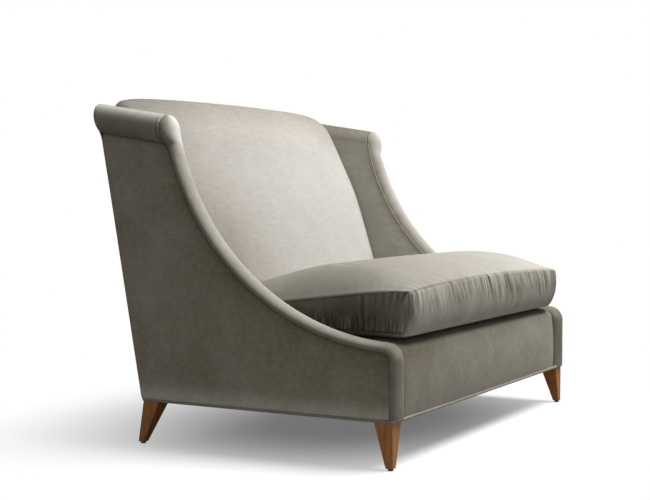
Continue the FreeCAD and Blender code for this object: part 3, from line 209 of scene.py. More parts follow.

# %% [markdown]
# Five kinds are cut from the one bolt. The back has cross threads 2.5 mm thick that thin out after
# about 4 cm. Inside the wings the pile is brushed along, in streaks 8 mm wide. The outside arms show the
# fine threads of the ground, and their tones and sheen are warmer and more olive, painted as the cloth
# looks in shade; the outside back wears the same. The cushion is gathered. All else is plain.

# %% Five kinds of velvet
velvet_plain = velvet("brushed_cotton_velvet")
velvet_back = velvet("brushed_cotton_velvet_slubbed", mottle=0.06, slub=0.1,
                     tones=("#433d31", "#5c574e", "#9c978f", "#d0cdc9"))
velvet_wing = velvet("brushed_cotton_velvet_streaked", mottle=0.08, slub=0.065, thread=(70, 70, 8))
# Tones and sheen tint painted as the velvet looks in shade
velvet_arm = velvet("brushed_cotton_velvet_fine_slub_shade_toned", mottle=0.11, slub=0.065, thread=(40, 40, 3),
                    tones=("#443c2b", "#5f5640", "#9c9586", "#cfcdca"), tint="#beb49c")
velvet_seat = velvet("brushed_cotton_velvet_gathered", mottle=0.06, gather=0.5,
                     tones=("#433f37", "#5c574c", "#9b978d", "#cfcdca"))
print("velvets:", [cloth.name for cloth in (velvet_plain, velvet_back, velvet_wing, velvet_arm, velvet_seat)])

# %% [markdown]
# ## Sheets of points
# A cover is easiest to shape as a sheet of points: rows along the piece and columns across it. One
# function turns such a sheet into a smooth mesh, and another paints a number on each point. Where a
# sheet runs to a tip, many points fall on one spot, so they are joined and no face is left without an
# area.

# %% Points into a mesh
def paint(piece, name, values):
    """Write one number per point on a piece, such as its painted light and nap; one number alone goes on
    every point.
    """
    values = np.broadcast_to(np.ravel(np.asarray(values, np.float32)), len(piece.data.vertices))
    layer = piece.data.attributes.get(name) or piece.data.attributes.new(name, "FLOAT", "POINT")
    layer.data.foreach_set("value", np.ascontiguousarray(values))


def mesh_piece(name, points, faces, rounded=True):
    """A named piece from points in millimetres and the faces between them."""
    mesh = bpy.data.meshes.new(name)
    mesh.from_pydata((np.asarray(points, float) * MM).tolist(), [], faces)
    mesh.polygons.foreach_set("use_smooth", [rounded] * len(mesh.polygons))
    piece = bpy.data.objects.new(name, mesh)
    scene.collection.objects.link(piece)
    return piece


def sheet_mesh(name, rows, light_and_nap=0.2, flip=False, closed=False):
    """A smooth quad surface through rows of points in millimetres; closed joins each row's ends."""
    points = np.asarray(rows, float)
    count, width = points.shape[:2]
    index = np.arange(count * width).reshape(count, width)
    if closed:
        index = np.concatenate([index, index[:, :1]], axis=1)
    corners = [index[:-1, :-1], index[:-1, 1:], index[1:, 1:], index[1:, :-1]]
    faces = np.stack([corner.ravel() for corner in (corners[::-1] if flip else corners)], axis=1)
    piece = mesh_piece(name, points.reshape(-1, 3), faces.tolist())
    paint(piece, "light_and_nap", light_and_nap)
    shape = bmesh.new()
    shape.from_mesh(piece.data)
    bmesh.ops.remove_doubles(shape, verts=shape.verts, dist=1e-6)
    shape.to_mesh(piece.data)
    shape.free()
    return piece


# %% [markdown]
# ## Sewing
# A cover that is ready is sewn to the frame: it gets its cloth, the body that carries it and the plain
# CAD solids that it stands for. Soft steps are needed all over an upholstered piece, from one tone or one
# width to the next, so they come from one S-shaped curve.

# %% Sewing
def sew(piece, material, *solids, body="chair", fill=None):
    """Give a piece its cloth, its body and the CAD solids it stands for; fill, how tight a pad is, is not
    used.
    """
    piece.data.materials.append(material)
    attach(piece, body)
    if solids:
        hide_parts(*solids)
    return piece


def smooth(value):
    """0 below 0, 1 above 1 and an even S between."""
    value = np.clip(value, 0.0, 1.0)
    return value * value * (3 - 2 * value)


print("a quarter of the way, the S stands at", smooth(0.25))

# %% [markdown]
# ## The swept edge
# Everything on a wing follows one line in side view: up the front of the arm, over a small nose, along
# a long hollow arc and into the round head of the roll. It is worked out once here, with the direction
# that faces out of the padding, and every neighbour uses the same points, so no gap can open. First come
# the sizes that drive it.

# %% Sizes of a wing
# Outside and inside of an arm, measured from the middle of the chair, and the front of its facing
OUTER, INNER, FACE_Y = 607.0, 549.0, -417.0
# Foot of the facing and of the body, and the radius of the nose
FOOT_Z, BODY_Z, NOSE_R = 119.0, 114.0, 22.0
# Middle and radius of the long arc, and the height at which it ends
SWEEP_Y, SWEEP_Z, SWEEP_R, SWEEP_TOP = -433.0, 964.0, 682.0, 745.0
# Front end of the roll's axis, its radius and how much it climbs to the rear
ROLL_X, ROLL_Y, ROLL_Z, ROLL_R, TILT = 589.0, 232.0, 827.0, 40.0, math.radians(9.0)
# Round head over the end of the roll, how far it leans back, and how far below its middle the neck ends
HEAD_R, HEAD_LEAN, NECK_END = 41.0, math.radians(7.0), 14
# Foot of the outside back, and how far it rakes back per millimetre of height
REAR, RAKE = 312.0, 0.182


def rear_y(z, inset=0.0):
    """Y of the raked outside back at a height."""
    return REAR + (z - BODY_Z) * RAKE - inset


print("outside back from", rear_y(BODY_Z), "to", round(rear_y(ROLL_Z)), "mm at the roll")

# %% [markdown]
# The line has five stretches: straight, nose, arc, neck and head. Straight and round stretches are
# plain, and the neck is one smooth cubic that leaves the arc and enters the head in their directions.

# %% The swept edge in side view
def swept_edge():
    """Side-view points of the swept edge from the foot to the top of the head."""
    nose_y = FACE_Y + NOSE_R
    nose_z = SWEEP_Z - math.sqrt((SWEEP_R + NOSE_R) ** 2 - (nose_y - SWEEP_Y) ** 2)
    meet = math.atan2(nose_z - SWEEP_Z, nose_y - SWEEP_Y)
    points = [(FACE_Y, z) for z in np.linspace(FOOT_Z, nose_z, 14)[:-1]]
    for angle in np.linspace(math.pi, meet + math.pi, 28)[:-1]:
        points.append((nose_y + NOSE_R * math.cos(angle), nose_z + NOSE_R * math.sin(angle)))
    last = math.asin((SWEEP_TOP - SWEEP_Z) / SWEEP_R)
    for angle in np.linspace(meet, last, 130):
        points.append((SWEEP_Y + SWEEP_R * math.cos(angle), SWEEP_Z + SWEEP_R * math.sin(angle)))
    start = np.array(points[-1])
    lean = np.array([-math.sin(last), math.cos(last)])
    axis_up = np.array([math.sin(HEAD_LEAN), math.cos(HEAD_LEAN)])
    center = np.array([ROLL_Y, ROLL_Z])
    stop = center - axis_up * NECK_END
    reach = np.linalg.norm(stop - start) / 3
    controls = [start, start + lean * reach, stop - axis_up * reach, stop]
    for t in np.linspace(0, 1, 22)[1:]:
        s = 1 - t
        weights = (s ** 3, 3 * s * s * t, 3 * s * t * t, t ** 3)
        points.append(tuple(sum(w * c for w, c in zip(weights, controls))))
    for t in np.linspace(0, 1, 6)[1:]:
        points.append(tuple(stop + (center - stop) * t))
    for angle in np.linspace(0, math.pi / 2, 16)[1:]:
        points.append(tuple(center + axis_up * HEAD_R * math.sin(angle)))
    return np.array(points)


edge = swept_edge()
tangent = np.gradient(edge, axis=0)
tangent /= np.linalg.norm(tangent, axis=1, keepdims=True)
edge_out = np.stack([-tangent[:, 1], tangent[:, 0]], axis=1)
run = np.concatenate([[0], np.cumsum(np.linalg.norm(np.diff(edge, axis=0), axis=1))])
head_at = run[np.argmin(np.linalg.norm(edge - np.array([ROLL_Y, ROLL_Z]), axis=1))]
past_nose = smooth((run - 150) / 60)
print("swept edge:", len(edge), "points,", round(run[-1]), "mm long")

# %% [markdown]
# ## Facings
# A facing is the padded band that closes the front of a wing. In section it is a half round, and at the
# top it spreads into a round head over the end of the roll. A swept tube could not change its width, so
# the band is drawn as rows across the swept edge, each row as wide and as high as the band is there. The
# padding swells a little past the outside arm, and the cloth puckers where it turns over the nose.

# %% Facing shape
# Height of the pad, how far it swells past the outside arm, and how softly neck and head join
FACING_HIGH, FACING_PROUD, NECK_BLEND = 22.0, 5.5, 14.0
SECTION = np.linspace(0, math.pi, 29)
# Place along the swept edge and depth of each pucker
NOSE_TUCKS = [(147, 0.5), (152, 1.0), (157, 1.4), (162.5, 1.5), (168, 1.2), (173, 0.7)]


def facing_spread():
    """For each point of the swept edge: reach outward and inward of the roll's axis, and pad height."""
    u = run - head_at
    circle = np.sqrt(np.maximum(HEAD_R ** 2 - u ** 2, 0))
    band = OUTER - ROLL_X
    mix = np.clip(0.5 + 0.5 * (circle - band) / NECK_BLEND, 0, 1)
    joined = circle * mix + band * (1 - mix) + NECK_BLEND * mix * (1 - mix)
    outward = np.where(u < 0, joined, circle)
    cap = np.sqrt(np.maximum(1 - (np.maximum(u, 0) / HEAD_R) ** 2, 0))
    return outward, (ROLL_X - INNER) * cap, FACING_HIGH * cap


def facing_rows(side):
    """Rows across the swept edge, from the outside arm over the pad to the inside."""
    outward, inward, high = (value[:, None] for value in facing_spread())
    proud = FACING_PROUD * np.sin(2 * SECTION) * (SECTION < math.pi / 2)
    proud = (smooth((head_at - 30 - run) / 90) * (0.35 + 0.65 * past_nose))[:, None] * proud
    puckers = sum(depth * np.exp(-((run - place) / 1.7) ** 2) for place, depth in NOSE_TUCKS)
    puckers = np.outer(puckers, smooth((1.0 - SECTION) / 0.7) * smooth(SECTION / 0.2))
    across = np.sign(np.cos(SECTION)) * np.abs(np.cos(SECTION)) ** 0.94
    rise = np.sin(SECTION) ** 0.94 * high - puckers
    x = ROLL_X + (outward - inward) / 2 + (outward + inward) / 2 * across + proud - puckers
    y, z = (edge[:, k:k + 1] + edge_out[:, k:k + 1] * rise for k in (0, 1))
    return np.stack([side * x, y, z], axis=2)


print("facing reaches from", ROLL_X - INNER, "mm inside the roll's axis to", HEAD_R, "mm outside it")

# %% [markdown]
# A facing's tone is painted light and shade: deep down the upright front and pale along the sweep and
# on the head, with painted shade along its outer edge and painted highlights and shade on the puckers
# at the nose. The left one is palest on its inner half, which faces the light, and the right one on its
# outer half.

# %% Facings
def facing_light_and_shade(side):
    """Painted light and shade of a facing, row by row."""
    across = np.linspace(0, 1, len(SECTION))[None, :]
    up = smooth((run - 165) / 260)[:, None]
    head = smooth((run - head_at + 90) / 90)[:, None]
    past = past_nose[:, None]
    band = 0.12 * past * np.sin(math.pi * across) ** 1.5 + 0.12 * (1 - past) * (across - 0.3)
    middle = (1 - up) * band - (0.06 + 0.14 * past) * np.exp(-(across / 0.05) ** 2) * (1 - head)
    for at, depth in NOSE_TUCKS:
        lines = np.exp(-((run - at - 2.7) / 1.3) ** 2) - np.exp(-((run - at) / 1.3) ** 2)
        middle = middle + 0.07 * depth * lines[:, None] * smooth((0.32 - across) / 0.22)
    if side < 0:
        return 0.27 + middle + smooth((across - 0.15) / 0.5) * (0.4 * up + 0.46 * head - 0.08)
    return 0.17 + middle + up * (0.51 - 0.36 * smooth((across - 0.3) / 0.6)) + 0.08 * head


for side, word in SIDES:
    facing = sheet_mesh(f"{word}_facing_cover", facing_rows(side), facing_light_and_shade(side), flip=side > 0)
    sew(facing, velvet_plain, f"{word}_facing", fill=0.8)
print("facings:", len(facing.data.vertices), "points each")

# %% [markdown]
# ## Rolls
# The roll is a soft bolster along the top of the wing. Its cover is pulled forward into the seam with
# the head, which leaves a crease, one folded ridge and a groove beside it, and short tucks that fade out
# within a hand's width. A plain cylinder shows none of that, so the radius is worked out point by point.

# %% Roll shape
AXIS = np.array([math.cos(TILT), math.sin(TILT)])
AXIS_UP = np.array([-math.sin(TILT), math.cos(TILT)])
ROLL_TURNS = np.linspace(-80, 180, 90)
# Distance of the folded ridge and of the groove from the seam
FOLD_AT, GROOVE_AT = 8, 14
# Turn round the roll, depth and length of each tuck
ROLL_TUCKS = [(-0.86, 1.7, 24), (-0.62, 1.3, 16), (-0.33, 1.5, 20), (-0.05, 1.0, 13), (0.3, 0.9, 15),
              (0.7, 0.6, 12)]


def roll_rows(side):
    """Rows along the roll, one for each turn round it, and the painted shade in its seam and groove."""
    shares = np.concatenate([np.linspace(0, 0.22, 40)[:-1], np.linspace(0.22, 1, 34)])
    front_end = np.array([ROLL_Y, ROLL_Z])
    rows, crease_shade = [], []
    for turn in np.radians(ROLL_TURNS):
        lift = ROLL_R * math.sin(turn)
        base = front_end + AXIS_UP * lift
        start = lift * math.tan(TILT + HEAD_LEAN)
        length = (rear_y(base[1], 1.0) - base[0]) / (AXIS[0] - AXIS[1] * RAKE) - start
        along = shares * length
        outer_side = smooth((math.cos(turn) + 0.25) / 0.6) * smooth((1.1 - turn) / 0.9)
        seam = np.exp(-(along / 3.2) ** 2)
        radius = ROLL_R - 3.2 * seam
        radius += outer_side * 1.5 * np.exp(-((along - FOLD_AT) / 2.8) ** 2)
        radius -= outer_side * 1.2 * np.exp(-((along - GROOVE_AT) / 2.6) ** 2)
        for place, depth, fade in ROLL_TUCKS:
            radius -= depth * math.exp(-((turn - place) / 0.055) ** 2) * np.exp(-along / fade)
        x = ROLL_X + radius * math.cos(turn)
        yz = front_end + np.outer(along + start, AXIS) + np.outer(radius * math.sin(turn), AXIS_UP)
        rows.append(np.stack([side * x, yz[:, 0], yz[:, 1]], axis=1))
        # Painted shade in the seam with the head and in the groove beside it
        crease_shade.append(0.2 * seam + 0.12 * outer_side * np.exp(-((along - GROOVE_AT) / 2.8) ** 2))
    return np.array(rows), np.array(crease_shade)


print("each roll turns from", ROLL_TURNS[0], "to", ROLL_TURNS[-1], "degrees")

# %% [markdown]
# A roll's tone is painted light and shade: it is palest on the outer shoulder, a painted dark band lies
# just inside the top, and painted shade is deepest where the roll turns under outside, in the crease
# above the outside arm. Its seam and groove get painted shade as well.

# %% Rolls
roll_light_and_shade = np.interp(ROLL_TURNS, [-66, -58, -40, 0, 30, 50, 66, 85, 110, 150, 180],
                     [0.0, 0.16, 0.22, 0.31, 0.44, 0.6, 0.73, 0.56, 0.2, 0.34, 0.5])
for side, word in SIDES:
    rows, crease_shade = roll_rows(side)
    roll = sheet_mesh(f"{word}_roll_cover", rows, roll_light_and_shade[:, None] - crease_shade, flip=side < 0)
    sew(roll, velvet_plain, f"{word}_roll", f"{word}_roll_pad", fill=0.75)
print("rolls:", len(roll.data.vertices), "points each")

# %% [markdown]
# ## Arm covers
# The outside arm is a flat panel stretched over the frame, and the inside arm is the same outline with
# a thin pad. Both fill the room between the swept edge and the raked back, so their rows start on the
# swept edge and run back, and the top rows tilt to follow the roll.

# %% Rows of an arm
ARM_COLUMNS = np.concatenate([np.linspace(0, 0.1, 9)[:-1], np.linspace(0.1, 1, 46)])
TILT_FROM = 520.0


def arm_rows(side, x_of, first, top_offset, inset):
    """Rows from the swept edge to the back, from a first height up to an offset from the roll's axis;
    x_of gives X from the share of the height, the shares of the depth, and Y and Z."""
    top_z = ROLL_Z + top_offset
    chosen = [k for k in range(len(edge)) if first <= edge[k, 1] < top_z - 2 and run[k] < head_at]
    levels = [tuple(edge[k]) for k in chosen]
    levels.append((float(np.interp(top_z, edge[:, 1], edge[:, 0])), top_z))
    rows = []
    low = levels[0][1]
    for y, z in levels:
        tilt = smooth((z - TILT_FROM) / (top_z - TILT_FROM)) * math.tan(TILT)
        far = (REAR + (z - tilt * y - BODY_Z) * RAKE - inset) / (1 - RAKE * tilt)
        ys = y + (far - y) * ARM_COLUMNS
        zs = z + (ys - y) * tilt
        xs = x_of((z - low) / (top_z - low), ARM_COLUMNS, ys, zs)
        rows.append(np.stack([side * xs, ys, zs], axis=1))
    return np.array(rows)


def from_edge(rows):
    """Distance of each point from the swept edge, in side view."""
    return np.array([np.linalg.norm(row[:, None, 1:] - edge[None], axis=2).min(axis=1) for row in rows])


print("arm rows have", len(ARM_COLUMNS), "points")

# %% [markdown]
# The cloth is drawn tight, but it is never quite flat: a slow wave of half a millimetre keeps the light
# alive. The outside arm is drawn in under the roll, above the welt and along the facing. Its tone holds
# painted shade under the roll and along the facing, and it is painted paler toward the foot, as light
# thrown up from the floor, and toward the rear.

# %% Arm covers
def slow_wave(ys, zs, seed):
    """Chance heights between about -1 and 1 that change slowly, over some 130 mm."""
    return np.array([noise.noise(Vector((y / 130, z / 130, seed))) for y, z in zip(ys, zs)])


def outside_x(share_up, share_back, ys, zs):
    """X of the outside arm: flat, with a slight belly, and drawn in at its top and foot."""
    still = smooth(share_back / 0.12) * smooth((1 - share_back) / 0.1)
    drawn_in = 3.0 * smooth((share_up - 0.975) / 0.025) + 2.2 * smooth((125 - zs) / 6)
    belly = 1.2 * math.sin(math.pi * min(share_up, 1)) + 0.7 * slow_wave(ys, zs, 3.1)
    return OUTER - drawn_in + still * belly


def inside_x(share_up, share_back, ys, zs):
    """X of the inside arm, with its thin pad."""
    pad = smooth(share_back / 0.25) * smooth((1 - share_up) / 0.22)
    return INNER - pad * (4.5 + 0.8 * slow_wave(ys, zs, 7.7)) - 0.2


for side, word in SIDES:
    rows = arm_rows(side, outside_x, first=0, top_offset=-33, inset=1.0)
    arm_y, arm_z, away = rows[:, :, 1], rows[:, :, 2], from_edge(rows)
    above_nose = 0.35 + 0.65 * smooth((arm_z - 190) / 70)
    rows[:, :, 0] -= side * 2.4 * above_nose * np.exp(-(away / 6) ** 2)
    # Painted light and shade: shade along the facing and under the roll, floor light near the foot
    arm_light_and_shade = 0.33 + 0.04 * smooth((arm_y - 50) / 250) - 0.03 * smooth((-250 - arm_y) / 120)
    arm_light_and_shade -= 0.15 * above_nose * np.exp(-away / 26) + 0.2 * smooth((arm_z[:, :1] - 784) / 10)
    arm_light_and_shade += 0.28 * smooth((172 - arm_z) / 50) + 0.04 * smooth((240 - arm_z) / 110)
    outside = sheet_mesh(f"{word}_outside_arm_cover", rows, arm_light_and_shade, flip=side < 0)
    sew(outside, velvet_arm, f"{word}_outside_arm", fill=0.3)
    rows = arm_rows(side, inside_x, first=279, top_offset=0, inset=16.0)
    inside = sheet_mesh(f"{word}_inside_arm_cover", rows, light_and_nap=0.56, flip=side > 0)
    sew(inside, velvet_wing, f"{word}_inside_arm", fill=0.5)
print("arm covers:", len(outside.data.vertices), "and", len(inside.data.vertices), "points each")

# %% [markdown]
# ## Inside back
# The back is a tight one: foam under one piece of velvet, nailed under the seat and over the top. It
# swells a little toward the sitter, rolls over a soft crest and dips where it is pulled in between the
# wings. Each column of points is one such side view, and the crest and the swell fade to the sides.

# %% Side view of the inside back
LEAN = math.tan(math.radians(17.6))
CREST, CREST_ROUND, BACK_FOOT, BACK_SEAM = 932.5, 116.0, 296.0, 882.0


def hermite(first, first_way, last, last_way, count):
    """Points of a smooth curve between two points with given directions."""
    t = np.linspace(0, 1, count)[:, None]
    start = (2 * t ** 3 - 3 * t ** 2 + 1) * np.array(first) + (t ** 3 - 2 * t ** 2 + t) * np.array(first_way)
    return start + (3 * t ** 2 - 2 * t ** 3) * np.array(last) + (t ** 3 - t ** 2) * np.array(last_way)


def back_profile(share):
    """Side view of the inside back at a share of its half width: foot, face, crest, rear seam."""
    far = abs(share)
    drop = 10 * far ** 2 + 14 * far ** 10
    swell = 13.0 * (1 - 0.9 * far ** 4)
    top = CREST - drop
    ends = smooth((far - 0.6) / 0.4)
    spring = top - CREST_ROUND + 68 * ends
    z = np.linspace(BACK_FOOT, spring, 60)
    rise = (z - BACK_FOOT) / (spring - BACK_FOOT)
    # Toward the wings the upper part leans further back, from about 665 mm up
    above = (z - 665 + np.hypot(z - 665, 40)) / 2
    y = 157 + (z - 306) * LEAN + 0.18 * ends * above - swell * np.sin(math.pi * rise) ** 1.5
    face = np.stack([y, z], axis=1)
    ridge_top = np.array([rear_y(top, 22.0), top])
    way = np.array([LEAN + 0.18 * ends, 1.0]) * (92 - 50 * ends)
    over = hermite(face[-1], way, ridge_top, (94.0 - 36 * ends, 0.0), 34)
    seam = np.array([rear_y(BACK_SEAM, 0.5), BACK_SEAM])
    behind = hermite(ridge_top, (22.0, 0.0), seam, (-6.0, -46.0 + drop), 14)
    profile = np.concatenate([face, over[1:], behind[1:]])
    # Ease the joint between face and crest, as padding does
    for _ in range(50):
        profile[44:84] = (profile[43:83] + 2 * profile[44:84] + profile[45:85]) / 4
    return profile


middle_profile = back_profile(0.0)
print("back profile:", len(middle_profile), "points, top at", round(middle_profile[:, 1].max(), 1), "mm")

# %% [markdown]
# The columns stand closer together at the sides, where the cloth turns away between the wings. Each
# end column is repeated with its crest lowered behind the roll, so that no gap opens above it. The back
# is painted pale, as it faces the light, and paler still toward the right; painted shade deepens it
# toward the crest, toward the lower left and at the top right beside the wing.

# %% Inside back
BACK_HALF = 548.5
COLUMN_SHARES = np.concatenate([np.linspace(-1, -0.93, 16)[:-1], np.linspace(-0.93, 0.93, 110),
                                np.linspace(0.93, 1, 16)[1:]])


def turned_in(share, half, width, depth):
    """How far a panel turns away near its end: a quarter round, so wide and so deep."""
    near = np.clip((abs(share) * half - (half - width)) / width, 0, 1)
    return depth * (1 - math.sqrt(max(0.0, 1 - (0.985 * near) ** 2)))


def back_column(share):
    """One column of the inside back, pulled in between the wings."""
    y, z = back_profile(share).T
    tuck = turned_in(share, BACK_HALF, width=26.0, depth=24.0)
    fade = smooth((915 - z) / 50)
    y = y + tuck * (0.25 + 0.75 * fade) * smooth((445 - y) / 60)
    return np.stack([np.full(len(y), share * BACK_HALF), y, z - tuck * 0.75 * (1 - fade)], axis=1)


back_columns = [back_column(share) for share in COLUMN_SHARES]
for place, column in ((0, back_columns[0]), (len(back_columns) + 1, back_columns[-1])):
    below = np.minimum(column, [np.inf, rear_y(868.0, 3.0), 868.0])
    back_columns.insert(place, below)
back_columns = np.array(back_columns)
back_x, back_y, back_z = np.moveaxis(back_columns, 2, 0)
# Painted light and shade of the back
back_light_and_shade = 0.66 + 0.1 * back_x / INNER - 0.02 * (back_z - 600) / 300
back_light_and_shade -= 0.05 * smooth((-150 - back_x) / 300) + 0.26 * smooth((back_y - 285) / 155)
back_light_and_shade -= 0.07 * smooth((back_x - 250) / 250) * smooth((back_z - 790) / 80)
back_light_and_shade -= 0.26 * smooth((50 - back_x) / 560) * smooth((800 - back_z) / 360)
inside_back = sheet_mesh("inside_back_cover", back_columns, back_light_and_shade, flip=True)
sew(inside_back, velvet_back, "inside_back", "back_pad", fill=0.7)
print("inside back:", len(inside_back.data.vertices), "points")

# %% [markdown]
# ## Front border
# Under the cushion the front rail has a padded border that swells a little and turns in over the rail.
# It is made as the back is, from side views, and its ends turn in behind the facings.

# %% Front border
BORDER_HALF, BORDER_FOOT, BORDER_TOP, BORDER_ROUND = 548.6, 121.5, 302.0, 22.0


def border_profile(share):
    """Side view of the border at a share of its half width: face, rounded top edge and a flat rim."""
    far = abs(share)
    swell = 14.5 * (1 - 0.85 * far ** 6)
    top = BORDER_TOP - 2.0 * smooth((far - 0.6) / 0.4)
    z = np.linspace(BORDER_FOOT, top - BORDER_ROUND, 26)
    rise = (z - BORDER_FOOT) / (top - BORDER_ROUND - BORDER_FOOT)
    y = -424 - swell * np.sin(math.pi * (0.1 + 0.8 * rise)) ** 0.7 + 5 * rise ** 3
    face = np.stack([y, z], axis=1)
    over = hermite(face[-1], (6.0, 30.0), (-391.0, top), (34.0, 0.0), 16)
    flat = np.array([(-391 + step * 9, top) for step in (0.5, 1.0)])
    return np.concatenate([face, over[1:], flat])


border_columns = []
for share in COLUMN_SHARES:
    y, z = border_profile(share).T
    y = y + turned_in(share, BORDER_HALF, width=18.6, depth=15.0)
    border_columns.append(np.stack([np.full(len(y), share * BORDER_HALF), y, z], axis=1))
border_columns = np.array(border_columns)
border_x, border_z = border_columns[:, :, 0], border_columns[:, :, 2]
# Painted tone: paler to the right and at the foot, with a painted shadow at the upper left under the cushion
border_light_and_shade = 0.29 + 0.03 * border_x / INNER + 0.03 * smooth((230 - border_z) / 90)
border_light_and_shade -= 0.08 * smooth((-190 - border_x) / 240) * smooth((border_z - 200) / 80)
border = sheet_mesh("front_border_cover", border_columns, border_light_and_shade, flip=True)
sew(border, velvet_plain, "front_border", "front_pad", fill=0.55)
print("border:", len(border.data.vertices), "points")

# %% [markdown]
# ## Seat deck
# Behind the border lies the deck, a flat pad over the springs that shows only when the cushion is lifted
# out. It is 5 mm thicker in the middle and eases down to its rim over 6 cm.

# %% Seat deck
DECK_FRONT, DECK_REAR, DECK_RIM, DECK_PUFF, DECK_EASE = -383.0, 296.0, 300.5, 5.0, 60.0
deck_x, deck_y = np.meshgrid(np.linspace(-BACK_HALF, BACK_HALF, 90), np.linspace(DECK_FRONT, DECK_REAR, 60))
rim_x = np.minimum(BACK_HALF - np.abs(deck_x), DECK_EASE) / DECK_EASE
rim_y = np.minimum(np.minimum(deck_y - DECK_FRONT, DECK_REAR - deck_y), DECK_EASE) / DECK_EASE
deck_z = DECK_RIM + DECK_PUFF * np.sqrt(np.clip(rim_x * rim_y, 0, 1))
deck = sheet_mesh("seat_deck_cover", np.stack([deck_x, deck_y, deck_z], axis=2))
sew(deck, velvet_plain, "deck_cloth", "deck_pad", fill=0.4)
print("deck:", len(deck.data.vertices), "points")

# %% [markdown]
# ## Outside back
# The rear is one panel in the raked plane of the posts, with a round ear over the end of each roll. Its
# outline is followed column by column, and its rim turns in by a few millimetres, as a blind-sewn edge
# does.

# %% Outside back
RAKE_ANGLE = math.atan(RAKE)
# Middle and neck of an ear, and foot and top of the panel, all measured up the rake
EAR_UP, NECK_UP = (861.0 - BODY_Z) / math.cos(RAKE_ANGLE), 700.0
PANEL_FOOT, PANEL_TOP = 8.4, EAR_UP + 20.3
# Where an ear begins and ends, from the middle of the chair
EAR_FROM, EAR_HALF = 553.4, 630.0


def ear_limits(x):
    """Lowest and highest point of the panel, measured up the rake, at a distance from the middle."""
    far = abs(x)
    circle = math.sqrt(max(HEAD_R ** 2 - (far - ROLL_X) ** 2, 0.0))
    top = EAR_UP + circle if far > EAR_FROM else PANEL_TOP
    neck = 24 * max(0.0, 1 - (far - OUTER) / 12) ** 2
    bottom = PANEL_FOOT if far <= OUTER else EAR_UP - circle - neck
    return bottom, top


def panel_column(x):
    """One column of the panel from its foot to its top, with a slight crown and a turned-in rim."""
    bottom, top = ear_limits(x)
    up = bottom + (top - bottom) * (0.5 - 0.5 * np.cos(np.linspace(0, math.pi, 64)))
    to_rim = np.minimum(up - bottom, top - up)
    if abs(x) <= OUTER:
        to_rim = np.where(up < NECK_UP, np.minimum(to_rim, OUTER - abs(x)), to_rim)
    else:
        to_rim = np.minimum(to_rim, EAR_HALF - abs(x))
    turn_in = 4.5 * (1 - np.sqrt(1 - np.clip(1 - to_rim / 6, 0, 1) ** 2))
    crown = 2.0 * np.sin(math.pi * np.clip((up - 8) / 740, 0, 1)) * math.cos(math.pi * x / (2 * EAR_HALF))
    out = crown - turn_in
    y = REAR + up * math.sin(RAKE_ANGLE) + out * math.cos(RAKE_ANGLE)
    z = BODY_Z + up * math.cos(RAKE_ANGLE) - out * math.sin(RAKE_ANGLE)
    return np.stack([np.full(len(up), x), y, z], axis=1)


half_x = np.concatenate([np.linspace(0, 540, 46)[:-1], np.linspace(540, 606.9, 22),
                         np.linspace(607.1, 629.8, 12)])
panel_x = np.concatenate([-half_x[:0:-1], half_x])
outside_back = sheet_mesh("outside_back_cover", [panel_column(x) for x in panel_x], light_and_nap=0.32)
sew(outside_back, velvet_arm, "outside_back", fill=0.25)
print("outside back:", len(outside_back.data.vertices), "points")

# %% [markdown]
# ## Welt and piping
# Cord covered in the same velvet is sewn along the bottom edge, all round, and a thinner one along the
# inner edge of each facing. Both are tubes that follow a line of points; the turns are short arcs.

# %% Tubes along a line
def tube_rows(line, radius, closed=False, sides=10):
    """Rings of points round a line in millimetres."""
    line = np.asarray(line, float)
    ahead = np.roll(line, -1, axis=0) - np.roll(line, 1, axis=0)
    if not closed:
        ahead[0], ahead[-1] = line[1] - line[0], line[-1] - line[-2]
    ahead /= np.linalg.norm(ahead, axis=1, keepdims=True)
    hint = np.array([0.0, 0.0, 1.0]) if np.abs(ahead[:, 2]).max() < 0.9 else np.array([1.0, 0.0, 0.0])
    first = np.cross(ahead, hint)
    first /= np.linalg.norm(first, axis=1, keepdims=True)
    second = np.cross(ahead, first)
    turns = np.linspace(0, 2 * math.pi, sides, endpoint=False)
    rings = [line + radius * (math.cos(t) * first + math.sin(t) * second) for t in turns]
    rings = np.stack(rings, axis=1)
    return np.concatenate([rings, rings[:1]]) if closed else rings


def rounded_loop(half_x, low_y, high_y, z, radius):
    """A rectangle with rounded corners, as points at one height."""
    loop = []
    for cx, cy, start in ((1, 0, -90), (1, 1, 0), (-1, 1, 90), (-1, 0, 180)):
        center = (cx * (half_x - radius), (high_y - radius) if cy else (low_y + radius))
        for angle in np.radians(np.linspace(start, start + 90, 9)):
            loop.append((center[0] + radius * math.cos(angle), center[1] + radius * math.sin(angle), z))
    return loop


print("a tube ring has", tube_rows([(0, 0, 0), (1, 0, 0)], 1.0).shape[1], "points")

# %% Welt and piping
welt_line = rounded_loop(half_x=604, low_y=-429, high_y=309.5, z=117.5, radius=6)
welt = sheet_mesh("base_welt_cord", tube_rows(welt_line, 4.2, closed=True), light_and_nap=0.34, closed=True)
sew(welt, velvet_plain, "base_welt")
piped = [k for k in range(len(edge)) if 200 < run[k] < head_at + 4]
for side, word in SIDES:
    line = [(side * (INNER - 0.5), *(edge[k] + edge_out[k] * 1.5)) for k in piped]
    piping = sheet_mesh(f"{word}_facing_piping", tube_rows(line, 2.4), light_and_nap=0.4, closed=True)
    sew(piping, velvet_plain)
print("welt and two pipings made, each piping along", len(piped), "points")

# %% [markdown]
# ## Slip stitches
# The facing is closed by hand: a row of slip stitches holds its outer edge to the outside arm. Each stitch
# is 4 mm of thread with pointed ends, and they stand 8 mm apart. A stitch is so small that two pyramids,
# base to base, are enough.

# %% Slip stitches
STITCH_STEP, STITCH_HALF, STITCH_R, STITCH_BELOW = 8.0, 2.0, 1.0, 4.0


